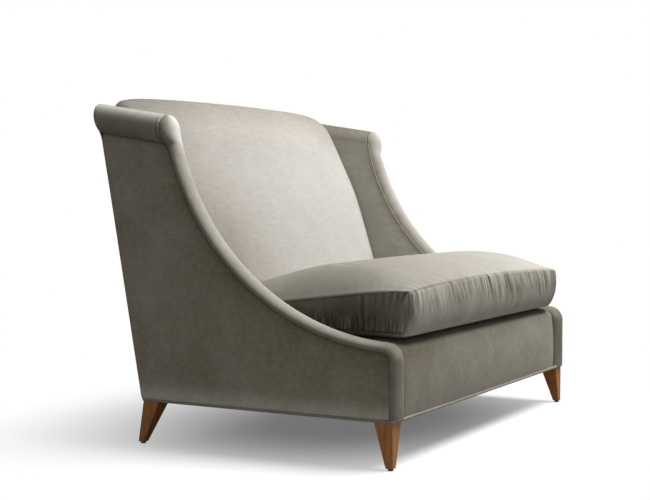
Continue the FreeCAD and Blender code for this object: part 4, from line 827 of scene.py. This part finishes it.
def stitch_row(name, side):
    """Small pointed stitches along the outer edge of a facing, from the nose to the neck."""
    points, faces = [], []
    for at in np.arange(215, head_at - 60, STITCH_STEP):
        spot, way, out_way = (np.array([np.interp(at, run, line[:, k]) for k in (0, 1)])
                              for line in (edge, tangent, edge_out))
        center = np.array([side * (OUTER - 0.7), *(spot - STITCH_BELOW * out_way)])
        ahead, up = np.array([0, *way]), np.array([0, *out_way])
        outward = np.array([side, 0, 0])
        base = len(points)
        points += [center - STITCH_HALF * ahead, center + STITCH_HALF * ahead]
        points += [center + STITCH_R * turn for turn in (up, outward, -up, -outward)]
        for k in range(4):
            first, second = base + 2 + k, base + 2 + (k + 1) % 4
            faces += [(base, first, second), (base + 1, second, first)]
    piece = mesh_piece(name, points, faces, rounded=False)
    paint(piece, "light_and_nap", 0.5)
    return sew(piece, velvet_plain)


for side, word in SIDES:
    stitches = stitch_row(f"{word}_facing_stitches", side)
print("stitches:", len(stitches.data.vertices) // 6, "on each side")

# %% [markdown]
# ## Seat cushion
# The cushion is a box: a top, a bottom and a boxing strip between them, filled with down round foam.
# The top rounds up from its seams and is flat in the middle. The front boxing is eased into the top seam,
# so it stands in fine gathers, and it rolls under without a seam. First the box is laid out as a grid
# with the real seams as its edges, then cloth simulation blows it up from the inside with the seams
# held, and last come the gathers and tucks, which a simulation at this size would be too coarse for.

# %% Plan of the cushion
# Half width, front and foot of the cushion, its top seam at the front corners, and the crown above the seam
CUSHION_X, CUSHION_FRONT, CUSHION_FOOT, CORNER_SEAM, CUSHION_CROWN = 530.0, -437.0, 307.5, 426.0, 88.0
# Rear edge at the foot and at the top seam
REAR_FOOT, REAR_SEAM = 134.5, 158.0
# Squares of the grid across, deep and up the boxing
ACROSS, DEEP, BOXING = 220, 52, 24


def cushion_outline(u, v, level):
    """Plan of the cushion at shares across and deep; level runs from 0 at the foot to 1 at the top seam."""
    rear = REAR_FOOT + level * (REAR_SEAM - REAR_FOOT)
    x = CUSHION_X * u
    y = CUSHION_FRONT + (rear - CUSHION_FRONT) * v
    # Sides pull in between the corners
    x *= 1 - 0.010 * math.sin(math.pi * v)
    corner = 24.0 + 14.0 * (1 - level)
    from_x, from_front, from_rear = CUSHION_X - abs(x), y - CUSHION_FRONT, rear - y
    for from_y, sign in ((from_front, 1), (from_rear, -1)):
        if from_x < corner and from_y < corner:
            q = np.array([corner - from_x, corner - from_y])
            length = np.linalg.norm(q)
            if length > 0:
                q *= max(q) / length
            x = math.copysign(CUSHION_X - corner + q[0], x)
            y = (CUSHION_FRONT + corner - q[1]) if sign > 0 else (rear - corner + q[1])
    return x, y


print("cushion:", 2 * CUSHION_X, "mm wide and", REAR_SEAM - CUSHION_FRONT, "mm deep at its seam")

# %% [markdown]
# In height the top seam bows up along the front and sags along the sides toward the back, as the filling
# leaves it. Above the seam the top rounds up from each edge.

# %% Heights of the cushion
def seam_height(x, y):
    """Height of the top seam: bowed up along the front, sagging along the sides toward the back."""
    bow = 14.5 * (1 - (x / CUSHION_X) ** 2) * math.exp((CUSHION_FRONT - y) / 250)
    sag = 58.0 * (1 - math.exp(-(max(y + 449, 0) / 300) ** 1.8)) - 14.0 * smooth((y + 50) / 220)
    return CORNER_SEAM + bow - sag


def top_rise(x, y):
    """How far the top stands above its seam: it rounds up from every edge and is flat in the middle."""
    rise = CUSHION_CROWN
    for gap, reach in ((CUSHION_X - abs(x), 125.0), (y - CUSHION_FRONT, 300.0), (REAR_SEAM - y, 330.0)):
        rise *= 1 - (1 - min(max(gap, 0.0) / reach, 1.0)) ** 2
    return rise


print("cushion top in the middle at", round(seam_height(0, -150) + top_rise(0, -150)), "mm")

# %% [markdown]
# Each point is noted with three marks: how far along the top seam it lies, how far below the seam, and
# its painted light and nap. Top and bottom are two grids of the same squares. The top is painted paler
# toward the right, where the light falls, and along the front edge.

# %% Top and bottom of the cushion
us, vs = np.linspace(-1, 1, ACROSS + 1), np.linspace(0, 1, DEEP + 1)
# Mark along the seam for points nearest to the rear, and the furthest mark along the left side
REAR_MARK, LEFT_LIMIT = 2000.0, -600.0
vertices, faces, marks = [], [], []
top_grid, foot_grid = {}, {}


def put(x, y, z, down, light_and_nap):
    """Note one point, with its place along the seam, its distance below the top seam and its painted light
    and nap.
    """
    gaps = {"front": y - CUSHION_FRONT, "side": CUSHION_X - abs(x), "rear": REAR_SEAM - y}
    nearest = min(gaps, key=gaps.get)
    along = {"front": x + CUSHION_X, "rear": REAR_MARK,
             "side": -gaps["front"] if x < 0 else 2 * CUSHION_X + gaps["front"]}[nearest]
    vertices.append((x, y, z))
    marks.append((max(along, LEFT_LIMIT), -gaps[nearest] if down is None else down, light_and_nap))
    return len(vertices) - 1


for i, u in enumerate(us):
    for j, v in enumerate(vs):
        x, y = cushion_outline(u, v, 1.0)
        # Painted light: paler toward the right, where the light falls, and along the front edge
        top_light_and_shade = 0.475 + 0.15 * x / CUSHION_X + 0.07 * math.exp((CUSHION_FRONT - y) / 90)
        top_grid[i, j] = put(x, y, seam_height(x, y) + top_rise(x, y), None, top_light_and_shade)
        x, y = cushion_outline(u, v, 0.0)
        rim = min(CUSHION_X - abs(x), y - CUSHION_FRONT, 40) / 40
        foot_grid[i, j] = put(x, y + 14 * (1 - v), CUSHION_FOOT + 5 * (1 - smooth(rim)), 125.0, 0.1)
for i in range(ACROSS):
    for j in range(DEEP):
        faces.append([top_grid[key] for key in ((i, j), (i + 1, j), (i + 1, j + 1), (i, j + 1))])
        faces.append([foot_grid[key] for key in ((i, j), (i, j + 1), (i + 1, j + 1), (i + 1, j))])
print("top and bottom:", len(faces), "squares")

# %% [markdown]
# The boxing strip joins the rims of the two grids. It swells most along the front. Its tone is painted
# light and shade: painted shade on the left side, which faces away from the light, deepest toward the
# back; the front is painted paler toward the left, toward the top seam and where it rolls under at the
# foot, and a little deeper halfway down.

# %% Boxing of the cushion
def boxing_light_and_shade(i, j, level):
    """Painted light and shade of the boxing: the front is j = 0 and the left side i = 0."""
    if j == 0:
        light_and_nap = 0.3 - 0.08 * us[i] + 0.1 * smooth((level - 0.6) / 0.4) + 0.18 * (1 - level) ** 2
        return light_and_nap - 0.06 * math.exp(-((level - 0.52) / 0.2) ** 2)
    light_and_nap = 0.06 + 0.2 * smooth(1 - 4.5 * vs[j]) if i == 0 else 0.2
    return light_and_nap + 0.1 * smooth((level - 0.45) / 0.5)


def boxing_point(i, j, level):
    """A point of the boxing between the two rims, swelled out."""
    low, high = np.array(vertices[foot_grid[i, j]]), np.array(vertices[top_grid[i, j]])
    point = low + (high - low) * level
    point[:2] = cushion_outline(us[i], vs[j], level)
    swell = math.sin(math.pi * level ** 0.7)
    if j == 0:
        point[1] -= (11 + 8 * (1 - us[i] ** 4)) * swell - 17 * (1 - level) ** 2
    elif j != DEEP:
        point[0] += math.copysign(3 * swell - 6 * (1 - level) ** 2, point[0])
    return put(*point, (1 - level) * (high[2] - low[2]), boxing_light_and_shade(i, j, level))


ring = [(i, 0) for i in range(ACROSS)] + [(ACROSS, j) for j in range(DEEP)]
ring += [(i, DEEP) for i in range(ACROSS, 0, -1)] + [(0, j) for j in range(DEEP, 0, -1)]
strips = [[foot_grid[key] for key in ring]]
for step in range(1, BOXING):
    strips.append([boxing_point(*key, step / BOXING) for key in ring])
strips.append([top_grid[key] for key in ring])
for low, high in zip(strips, strips[1:]):
    for k in range(len(ring)):
        n = (k + 1) % len(ring)
        faces.append((low[k], low[n], high[n], high[k]))
cushion = mesh_piece("seat_cushion_cover", vertices, faces)
for column, name in enumerate(("around", "down", "light_and_nap")):
    paint(cushion, name, np.array(marks)[:, column])
print("cushion laid out:", len(vertices), "points,", len(faces), "faces")

# %% [markdown]
# ## Blowing up the cushion
# The simulation holds the bottom, which lies on the deck, and the two seams, and it holds the boxing
# loosely, as the foam behind it does. Pressure from inside pushes the rest out, and the cloth's own
# stiffness spreads the swelling. A cap keeps any point from moving further than the fill would let it.

# %% Cushion simulation
def blow_up(piece, held, pressure, frames, cap):
    """Cloth simulation with pressure and no gravity; held maps points to how firmly they stay."""
    group = piece.vertex_groups.new(name="held")
    for index, weight in held.items():
        group.add([index], weight, "REPLACE")
    cloth = piece.modifiers.new("blow_up", "CLOTH")
    settings = cloth.settings
    settings.quality = 5
    settings.mass = 0.25
    settings.tension_stiffness = 12
    settings.compression_stiffness = 12
    settings.shear_stiffness = 5
    settings.bending_stiffness = 1.5
    settings.use_pressure = True
    settings.uniform_pressure_force = pressure
    settings.effector_weights.gravity = 0
    settings.vertex_group_mass = "held"
    cloth.collision_settings.use_collision = False
    cloth.point_cache.frame_start = 1
    cloth.point_cache.frame_end = frames
    before = np.array([v.co for v in piece.data.vertices])
    for number in range(1, frames + 1):
        scene.frame_set(number)
    shape = piece.evaluated_get(bpy.context.evaluated_depsgraph_get())
    after = np.array([v.co for v in shape.data.vertices])
    piece.modifiers.remove(cloth)
    piece.vertex_groups.remove(group)
    scene.frame_set(1)
    move = after - before
    length = np.linalg.norm(move, axis=1, keepdims=True)
    move *= np.minimum(1, cap / np.maximum(length, 1e-9))
    piece.data.vertices.foreach_set("co", (before + move).ravel())
    piece.data.update()
    return float(length.max()), float(np.linalg.norm(move, axis=1).mean())


FIRM, LOOSE = 1.0, 0.6
held = {index: FIRM for index in foot_grid.values()}
held.update({index: LOOSE for strip in strips[1:-1] for index in strip})
held.update({index: FIRM for index in strips[-1]})
most, mean = blow_up(cushion, held, pressure=4.0, frames=20, cap=0.012)
print("cushion swelled by up to", round(most * 1000, 1), "mm, on average", round(mean * 1000, 1), "mm")

# %% [markdown]
# ## Sewing marks on the cushion
# The mesh is divided once more, so that a gather of a few millimetres has points to stand on. Lines of
# sewing are soft ridges, and gathers are chance heights along the seam: real ones are uneven, lean and
# run together, which an even wave would not show.

# %% Finer mesh, ridges and gathers
divide = cushion.modifiers.new("finer", "SUBSURF")
divide.levels = divide.render_levels = 1
fine = bpy.data.meshes.new_from_object(cushion.evaluated_get(bpy.context.evaluated_depsgraph_get()))
cushion.modifiers.remove(divide)
cushion.data = fine


def read(collection, key, width=1):
    """All values of one property of a mesh's points, as an array."""
    values = np.empty(len(collection) * width, np.float32)
    collection.foreach_get(key, values)
    return values.astype(float).reshape(-1, width) if width > 1 else values.astype(float)


def ridge(value, middle, width):
    """A soft line one unit high."""
    return np.exp(-((value - middle) / width) ** 2)


def wander(values, seed):
    """Smooth chance heights from -1 to 1 along a line, one new height per unit."""
    cell = np.floor(values)
    part = smooth(values - cell)
    first, last = (np.modf(np.abs(np.sin((cell + n) * 12.9898 + seed * 78.233)) * 43758.5453)[0]
                   for n in (0, 1))
    return 2 * (first + (last - first) * part) - 1


def pleats(u, v):
    """Uneven gathers 10 to 25 mm apart that lean and run together; u runs along the seam, v down from it."""
    lean = u + 5 * wander(u / 34, 1) + 0.14 * v * wander(u / 46, 2)
    crowded = 0.75 + 0.45 * wander(u / 55, 3)
    return crowded * (0.55 * wander(lean / 7.5, 4) + 0.45 * wander(lean / 13, 5)
                      + 0.3 * wander((lean + v * 0.1) / 5, 6))


print("finer cushion:", len(fine.vertices), "points")

# %% [markdown]
# Weights from 0 to 1 say where each kind of sewing lies: gathers that hang from the front seam and fade
# out on the way down, gathers eased into the top behind it, gathers above the lower side seam, and the
# two front corners.

# %% Where the sewing lies
# Height of the lower side seam, and place of the joint in the left boxing along the top seam
LOWER_SEAM, JOINT_AT = 324.0, -132.0
# Where the front and the sides begin, and the height from which the boxing stands free
FRONT_Y, SIDE_X, FREE_Z = -414, 508, 322
place = read(fine.vertices, "co", 3) * 1000
out = read(fine.vertices, "normal", 3)
along, down, light_and_nap = (read(fine.attributes[name].data, "value") for name in ("around", "down", "light_and_nap"))
x, y, z = place.T
boxing = smooth(down / 3)
front = smooth((FRONT_Y - y) / 12) * smooth((z - FREE_Z) / 10)
left_side = smooth((-SIDE_X - x) / 10) * (1 - front) * boxing
both_sides = smooth((np.abs(x) - SIDE_X) / 10) * (1 - front) * boxing
joint = left_side * smooth((z - FREE_Z) / 6)
from_corner = np.minimum(along, 2 * CUSHION_X - along)
corner = boxing * smooth((92 - down) / 56)
hanging = front * boxing * smooth((88 + 26 * wander(along / 19, 9) - down) / 58)
eased = (1 - boxing) * smooth((-330 - y) / 60) * np.exp(np.minimum(down, 0) / 30)
lower = left_side * smooth((372 - z) / 40) * smooth((z - FREE_Z) / 4)
print("gathered share of the points:", round(float(np.mean(hanging + eased + lower > 0.1)), 2))

# %% [markdown]
# Now the points move along their normals: a groove and a lip at each seam, the gathers, a joint in the
# left boxing, and the fold and tucks at the two front corners.

# %% Cushion seams, gathers and tucks
# Start from the corner, depth and slant of each tuck
CORNER_TUCKS = ((-15, 4.0, 0.42), (-31, 3.2, 0.24), (-52, 2.6, 0.1), (-73, 1.8, 0.0), (-98, 1.2, -0.1))
folds = pleats(along, np.abs(down))
move = folds * (3.4 * hanging + 0.9 * eased + 1.6 * lower)
move -= 2.0 * ridge(down, 0, 3.2) * smooth((from_corner + 500) / 40)
move += 0.9 * ridge(down, -7, 4.0)
move += both_sides * (1.0 * ridge(z, LOWER_SEAM - 7, 3.6) - 2.4 * ridge(z, LOWER_SEAM, 2.6)
                      + 1.0 * ridge(z, LOWER_SEAM + 6, 3.0))
move -= 1.4 * ridge(along, JOINT_AT, 2.6) * joint
move += corner * (2.4 * ridge(from_corner, 14, 7.0) - 3.4 * ridge(from_corner, 2, 3.2)
                  + 1.2 * ridge(from_corner, -7, 4.0))
tucks = 0
for start, depth, slant in CORNER_TUCKS:
    tucks += depth * ridge(from_corner, start - slant * np.maximum(down, 0), 3.2)
tucks *= boxing * smooth((50 - down) / 42)
move -= tucks
fine.vertices.foreach_set("co", ((place + out * move[:, None]) * MM).ravel().astype(np.float32))
fine.update()
print("deepest fold", round(float(-move.min()), 1), "mm")

# %% [markdown]
# The same lines are painted into the tone as light and shade: a painted highlight on the crown of a
# fold and painted shade in its valley, in the tucks, in the seam grooves and at the joint, and a painted
# highlight beside each front corner with painted shade in its fold. The front also differs in tone at
# random. The gathers' place and weight go along for the finest folds, which the cloth's own material
# draws.

# %% Nap of the cushion
# Painted highlights on fold crests and painted shade in valleys, tucks, seams and corners
light_and_nap += 0.36 * folds * (hanging + 0.4 * eased + 0.4 * lower) - 0.08 * tucks - 0.2 * ridge(down, 0, 2.6)
light_and_nap += joint * (0.09 * ridge(along, JOINT_AT + 10, 4.5) - 0.1 * ridge(along, JOINT_AT, 4.0)
                + 0.07 * ridge(along, JOINT_AT - 10, 4.5))
light_and_nap += both_sides * (0.06 * ridge(z, LOWER_SEAM + 4, 2.6) - 0.12 * ridge(z, LOWER_SEAM, 2.4))
light_and_nap += front * boxing * (0.05 * wander(along / 48, 7) + 0.04 * wander(along / 17 + down / 50, 8))
light_and_nap += corner * (0.14 * ridge(from_corner, 15, 9.0) - 0.15 * ridge(from_corner, 2, 3.2))
paint(cushion, "light_and_nap", np.maximum(light_and_nap, 0.11 * front * boxing))
paint(cushion, "around", along * MM)
paint(cushion, "down", down * MM)
paint(cushion, "gather", hanging + 0.5 * eased + 0.9 * lower)
sew(cushion, velvet_seat, "cushion_cover", "cushion_core", body="seat_cushion", fill=0.7)
print("cushion sewn, nap from", round(float(light_and_nap.min()), 2), "to", round(float(light_and_nap.max()), 2))

# %% [markdown]
# ## Wood
# The legs are solid cherry, stained brown and finished with a satin lacquer: long grain runs down them,
# with darker late-wood lines a few millimetres apart, and the lacquer gives a soft gleam on the edges.
# The frame inside is plain planed beech. A board's grain runs along it, so beech comes in three kinds,
# one for each direction in which the frame's boards lie.

# %% Wood
def wood(name, grain, stops, roughness, coat=0.0):
    """Planed wood; grain is how long its streaks are, in millimetres, along X, Y and Z."""
    material, tree, shader = new_material(name)
    place = add(tree, "ShaderNodeTexCoord").outputs["Object"]
    streaks = add(tree, "ShaderNodeMapping", {
        "Vector": place, "Scale": tuple(1000 / size for size in grain)})
    streaks = add(tree, "ShaderNodeTexNoise", {
        "Vector": streaks.outputs["Vector"], "Scale": 1.0, "Detail": 5.0, "Roughness": 0.62,
        "Distortion": 0.8}).outputs["Fac"]
    tones = add(tree, "ShaderNodeValToRGB", {"Fac": streaks}, stops=stops)
    tree.links.new(tones.outputs["Color"], shader.inputs["Base Color"])
    bump = add(tree, "ShaderNodeBump", {"Height": streaks, "Strength": 0.15, "Distance": 0.0004})
    tree.links.new(bump.outputs["Normal"], shader.inputs["Normal"])
    shader.inputs["Roughness"].default_value = roughness
    shader.inputs["Specular IOR Level"].default_value = 0.3
    shader.inputs["Coat Weight"].default_value = coat
    shader.inputs["Coat Roughness"].default_value = 0.3
    return material


cherry = wood("stained_cherry_satin_lacquer", (6.7, 6.7, 110), [
    (0.26, "#74431b"), (0.5, "#98612d"), (0.76, "#b67e46")], 0.5, coat=0.08)
beech_stops = [(0.3, "#b98d5e"), (0.5, "#cda677"), (0.7, "#dbb98c")]
beech_across = wood("planed_beech_along_x", (120, 7, 7), beech_stops, 0.7)
beech_deep = wood("planed_beech_along_y", (7, 120, 7), beech_stops, 0.7)
beech_upright = wood("planed_beech_upright", (7, 7, 120), beech_stops, 0.7)
print("wood:", cherry.name, "and three kinds of", beech_across.name.split("_along")[0])

# %% [markdown]
# Legs and frame boards are good as the CAD model has them: sawn and planed wood has flat faces and clean
# edges. They only change their plain material for wood.

# %% Wooden pieces
def dress(material, *names):
    """Give CAD nodes a material in place of the plain one."""
    for name in names:
        nodes[name].data.materials.clear()
        nodes[name].data.materials.append(material)


def pair(*names):
    """The same names on the left and on the right."""
    return [f"{word}_{name}" for side, word in SIDES for name in names]


dress(cherry, *pair("front_leg", "rear_leg"))
dress(beech_across, "front_seat_rail", "back_seat_rail", "lower_back_rail", "top_back_rail", "corner_blocks",
      "frame_dowels")
dress(beech_deep, *pair("side_rail", "arm_rail", "roll_core"))
dress(beech_upright, *pair("back_post", "front_stump"))
print("dressed in wood, among others:", pair("front_leg"))

# %% [markdown]
# ## Metal and plastic
# Springs, clips, screws and bolts are drawn steel with a thin zinc coat: grey, with cloudy patches a few
# millimetres wide that differ in gloss. The zip's slider is nickel plated. The glides are moulded black
# plastic with a fine even grain, so that they slide and leave no mark.

# %% Metal and plastic
def hard(name, dark, light, patch, gloss, metallic=0.0, depth=0.0001):
    """A hard surface with cloudy patches, so many millimetres wide; gloss gives the range of roughness."""
    material, tree, shader = new_material(name)
    place = add(tree, "ShaderNodeTexCoord").outputs["Object"]
    clouds = add(tree, "ShaderNodeTexNoise", {
        "Vector": place, "Scale": 1000 / patch, "Detail": 4.0}).outputs["Fac"]
    tones = add(tree, "ShaderNodeValToRGB", {"Fac": clouds}, stops=[(0.3, dark), (0.7, light)])
    rough = add(tree, "ShaderNodeMapRange", {
        "Value": clouds, "From Min": 0.3, "From Max": 0.7, "To Min": gloss[0], "To Max": gloss[1]})
    bump = add(tree, "ShaderNodeBump", {"Height": clouds, "Strength": 0.2, "Distance": depth})
    tree.links.new(tones.outputs["Color"], shader.inputs["Base Color"])
    tree.links.new(rough.outputs["Result"], shader.inputs["Roughness"])
    tree.links.new(bump.outputs["Normal"], shader.inputs["Normal"])
    shader.inputs["Metallic"].default_value = metallic
    return material


zinc = hard("zinc_plated_drawn_steel", "#85888a", "#a9abac", 6, (0.32, 0.5), metallic=1.0)
nickel = hard("nickel_plated_die_cast_zinc", "#b3aea4", "#c9c5bc", 3, (0.2, 0.34), metallic=1.0)
plastic = hard("moulded_black_polyethylene", "#161514", "#232120", 1.2, (0.48, 0.62), depth=0.0002)
dress(zinc, "sinuous_springs", "spring_clips", "block_screws", "hanger_bolts", "insert_nuts")
dress(nickel, "zip_slider")
dress(plastic, "glides")
print("hard materials:", zinc.name, nickel.name, plastic.name)

# %% [markdown]
# ## Linings and zip
# Under the velvet lie coarser cloths: jute burlap over the springs, jute webbing in the back, and a thin
# black dust cover that closes the frame from below. The zip is a woven tape with a raised row of teeth
# along its middle. A weave is two sets of threads that take turns on top, which is the higher of two
# waves at right angles. The dust cover is spunbonded and not woven, but its fine grid of pressed points
# looks much the same.

# %% Weaves
def woven(name, dark, light, pitch, axes="XY"):
    """A plain weave, one thread every pitch millimetres, in the plane of the two axes."""
    material, tree, shader = new_material(name)
    place = add(tree, "ShaderNodeTexCoord").outputs["Object"]
    # One unit of a wave texture's scale draws 20 / (2 pi) waves per metre
    first, second = (add(tree, "ShaderNodeTexWave", {
        "Vector": place, "Scale": 100 * math.pi / pitch, "Distortion": 1.2, "Detail": 2.0},
        bands_direction=axis).outputs["Fac"] for axis in axes)
    fibres = add(tree, "ShaderNodeTexNoise", {"Vector": place, "Scale": 1000 / (3 * pitch), "Detail": 4.0})
    height = add(tree, "ShaderNodeMath", {0: first, 1: second}, operation="MAXIMUM").outputs[0]
    tone = add(tree, "ShaderNodeMath", {0: height, 1: fibres.outputs["Fac"]}, operation="MULTIPLY")
    tones = add(tree, "ShaderNodeValToRGB", {"Fac": tone.outputs[0]}, stops=[(0.15, dark), (0.6, light)])
    bump = add(tree, "ShaderNodeBump", {"Height": height, "Strength": 0.5, "Distance": pitch * 0.0003})
    tree.links.new(tones.outputs["Color"], shader.inputs["Base Color"])
    tree.links.new(bump.outputs["Normal"], shader.inputs["Normal"])
    shader.inputs["Roughness"].default_value = 0.9
    return material


jute = woven("woven_jute_burlap", "#8a6b41", "#c3a473", 2.4)
webbing = woven("woven_jute_webbing", "#7d6240", "#c9b083", 2.0, axes="XZ")
cambric = woven("black_spunbonded_dust_cover", "#121213", "#2a2a2b", 1.2)
tape = woven("woven_polyester_zip_tape", "#39342b", "#5f594e", 0.8, axes="XZ")
dress(webbing, "back_webbing")
dress(tape, "zip")
print("weaves:", jute.name, webbing.name, cambric.name, tape.name)

# %% [markdown]
# Burlap and dust cover are sheets of points again, stretched from rail to rail. They sag by 3 mm at
# most in the middle, and the dust cover is cut out at the four legs.

# %% Burlap and dust cover
def stretch(name, solid, half_x, front, back, z, sag, material, notch=0.0):
    """A cloth stretched flat between the rails, that sags a little and is cut out at its corners."""
    grid_x, grid_y = np.meshgrid(np.linspace(-half_x, half_x, 120), np.linspace(front, back, 72))
    bow = np.sin(math.pi * (grid_x + half_x) / (2 * half_x))
    bow *= np.sin(math.pi * (grid_y - front) / (back - front))
    piece = sheet_mesh(name, np.stack([grid_x, grid_y, z - sag * bow], axis=2))
    middles = np.array([face.center for face in piece.data.polygons]) * 1000
    edge_x, edge_y = half_x - np.abs(middles[:, 0]), np.minimum(middles[:, 1] - front, back - middles[:, 1])
    cut = np.flatnonzero((edge_x < notch) & (edge_y < notch))
    shape = bmesh.new()
    shape.from_mesh(piece.data)
    shape.faces.ensure_lookup_table()
    bmesh.ops.delete(shape, geom=[shape.faces[k] for k in cut], context="FACES")
    area = sum(face.calc_area() for face in shape.faces)
    shape.to_mesh(piece.data)
    shape.free()
    piece.data.materials.append(material)
    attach(piece, "chair")
    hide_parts(solid)
    return piece


stretch("burlap_sheet", "burlap", half_x=548.5, front=-411, back=297.5, z=258.8, sag=0.8, material=jute)
dust_cover = stretch("dust_cover_sheet", "dust_cover", half_x=595, front=-407, back=295.7, z=113.4, sag=2.5,
                     material=cambric, notch=54)
print("dust cover:", len(dust_cover.data.polygons), "faces")

# %% [markdown]
# ## Floor
# The photograph is a studio cut-out: white ground, white background, one broad soft light high in front
# and the white floor as the only fill. The floor is a wide pale sheet of paper. The camera sees a painted
# white glow over its real shade: 16 % of it under the middle of the chair, where the floor is darkest,
# and more in an oval on every side, until it fades into the white that the camera sees behind it. The
# light that it throws back on the chair is that of a grey floor.

# %% Floor
# Half the floor's side in millimetres, and half axes of the dark oval in metres
REACH, OVAL = 14000.0, (0.60, 0.45)
floor = mesh_piece("floor", [(-REACH, -REACH, 0), (REACH, -REACH, 0), (REACH, REACH, 0), (-REACH, REACH, 0)],
                   [(0, 1, 2, 3)], rounded=False)
paper = bpy.data.materials.new("white_studio_paper")
paper.use_nodes = True
tree = paper.node_tree
tree.nodes.clear()
camera_ray = add(tree, "ShaderNodeLightPath").outputs["Is Camera Ray"]
sheet_tone = add(tree, "ShaderNodeMix", {
    "Factor": camera_ray, "A": linear("#9c9c9c"), "B": linear("#f4f4f4")}, data_type="RGBA")
matt = add(tree, "ShaderNodeBsdfDiffuse", {"Color": sheet_tone.outputs["Result"]})
# A white glow that only the camera sees, painted over the floor's shade, weakest under the chair
glow = add(tree, "ShaderNodeEmission", {"Color": (1, 1, 1, 1), "Strength": 1.0})
place = add(tree, "ShaderNodeTexCoord").outputs["Object"]
oval = add(tree, "ShaderNodeVectorMath", {0: place, 1: (1 / OVAL[0], 1 / OVAL[1], 0.0)}, operation="MULTIPLY")
away = add(tree, "ShaderNodeVectorMath", {0: oval.outputs[0]}, operation="LENGTH")
fade = add(tree, "ShaderNodeMapRange", {
    "Value": away.outputs["Value"], "From Min": 0.4, "From Max": 2.4, "To Min": 0.16, "To Max": 1.0},
    interpolation_type="SMOOTHSTEP")
white_share = add(tree, "ShaderNodeMath", {0: fade.outputs["Result"], 1: camera_ray}, operation="MULTIPLY")
blend = add(tree, "ShaderNodeMixShader", {
    "Fac": white_share.outputs[0], 1: matt.outputs["BSDF"], 2: glow.outputs["Emission"]})
add(tree, "ShaderNodeOutputMaterial", {"Surface": blend.outputs["Shader"]})
floor.data.materials.append(paper)
print("floor:", 2 * REACH * MM, "m wide")

# %% [markdown]
# ## World and lamps
# The world is dim for the chair, so that the lamps shape it, and white for what looks straight at it: the
# camera, and the gleam on metal. The broad light hangs high in front and to the right, and a weak one
# from the left keeps the outside arm from going black.

# %% World and lamps
world = bpy.data.worlds.new("studio")
scene.world = world
world.use_nodes = True
tree = world.node_tree
tree.nodes.clear()
seen = add(tree, "ShaderNodeLightPath")
direct = seen.outputs["Is Camera Ray"]
for kind in ("Is Glossy Ray", "Is Transmission Ray"):
    direct = add(tree, "ShaderNodeMath", {0: direct, 1: seen.outputs[kind]}, operation="MAXIMUM").outputs[0]
dim = add(tree, "ShaderNodeBackground", {"Color": (1, 1, 1, 1), "Strength": 0.22})
bright = add(tree, "ShaderNodeBackground", {"Color": (1, 1, 1, 1), "Strength": 1.0})
mixed = add(tree, "ShaderNodeMixShader", {
    "Fac": direct, 1: dim.outputs["Background"], 2: bright.outputs["Background"]})
add(tree, "ShaderNodeOutputWorld", {"Surface": mixed.outputs["Shader"]})


def soft_box(name, place, size, power):
    """A square studio light that looks at the middle of the chair."""
    lamp = bpy.data.lights.new(name, "AREA")
    lamp.shape = "SQUARE"
    lamp.size = size
    lamp.energy = power
    box = bpy.data.objects.new(name, lamp)
    box.location = place
    box.rotation_euler = (Vector((0, 0, 0.5)) - Vector(place)).to_track_quat("-Z", "Y").to_euler()
    scene.collection.objects.link(box)
    return box


key = soft_box("key_light", (0.55, -1.55, 3.6), 2.0, 215)
fill = soft_box("fill_light", (-3.4, -0.6, 1.0), 2.0, 4.5)
scene.view_settings.view_transform = "Standard"
print("lamps:", key.name, key.data.energy, "W and", fill.name, fill.data.energy, "W")
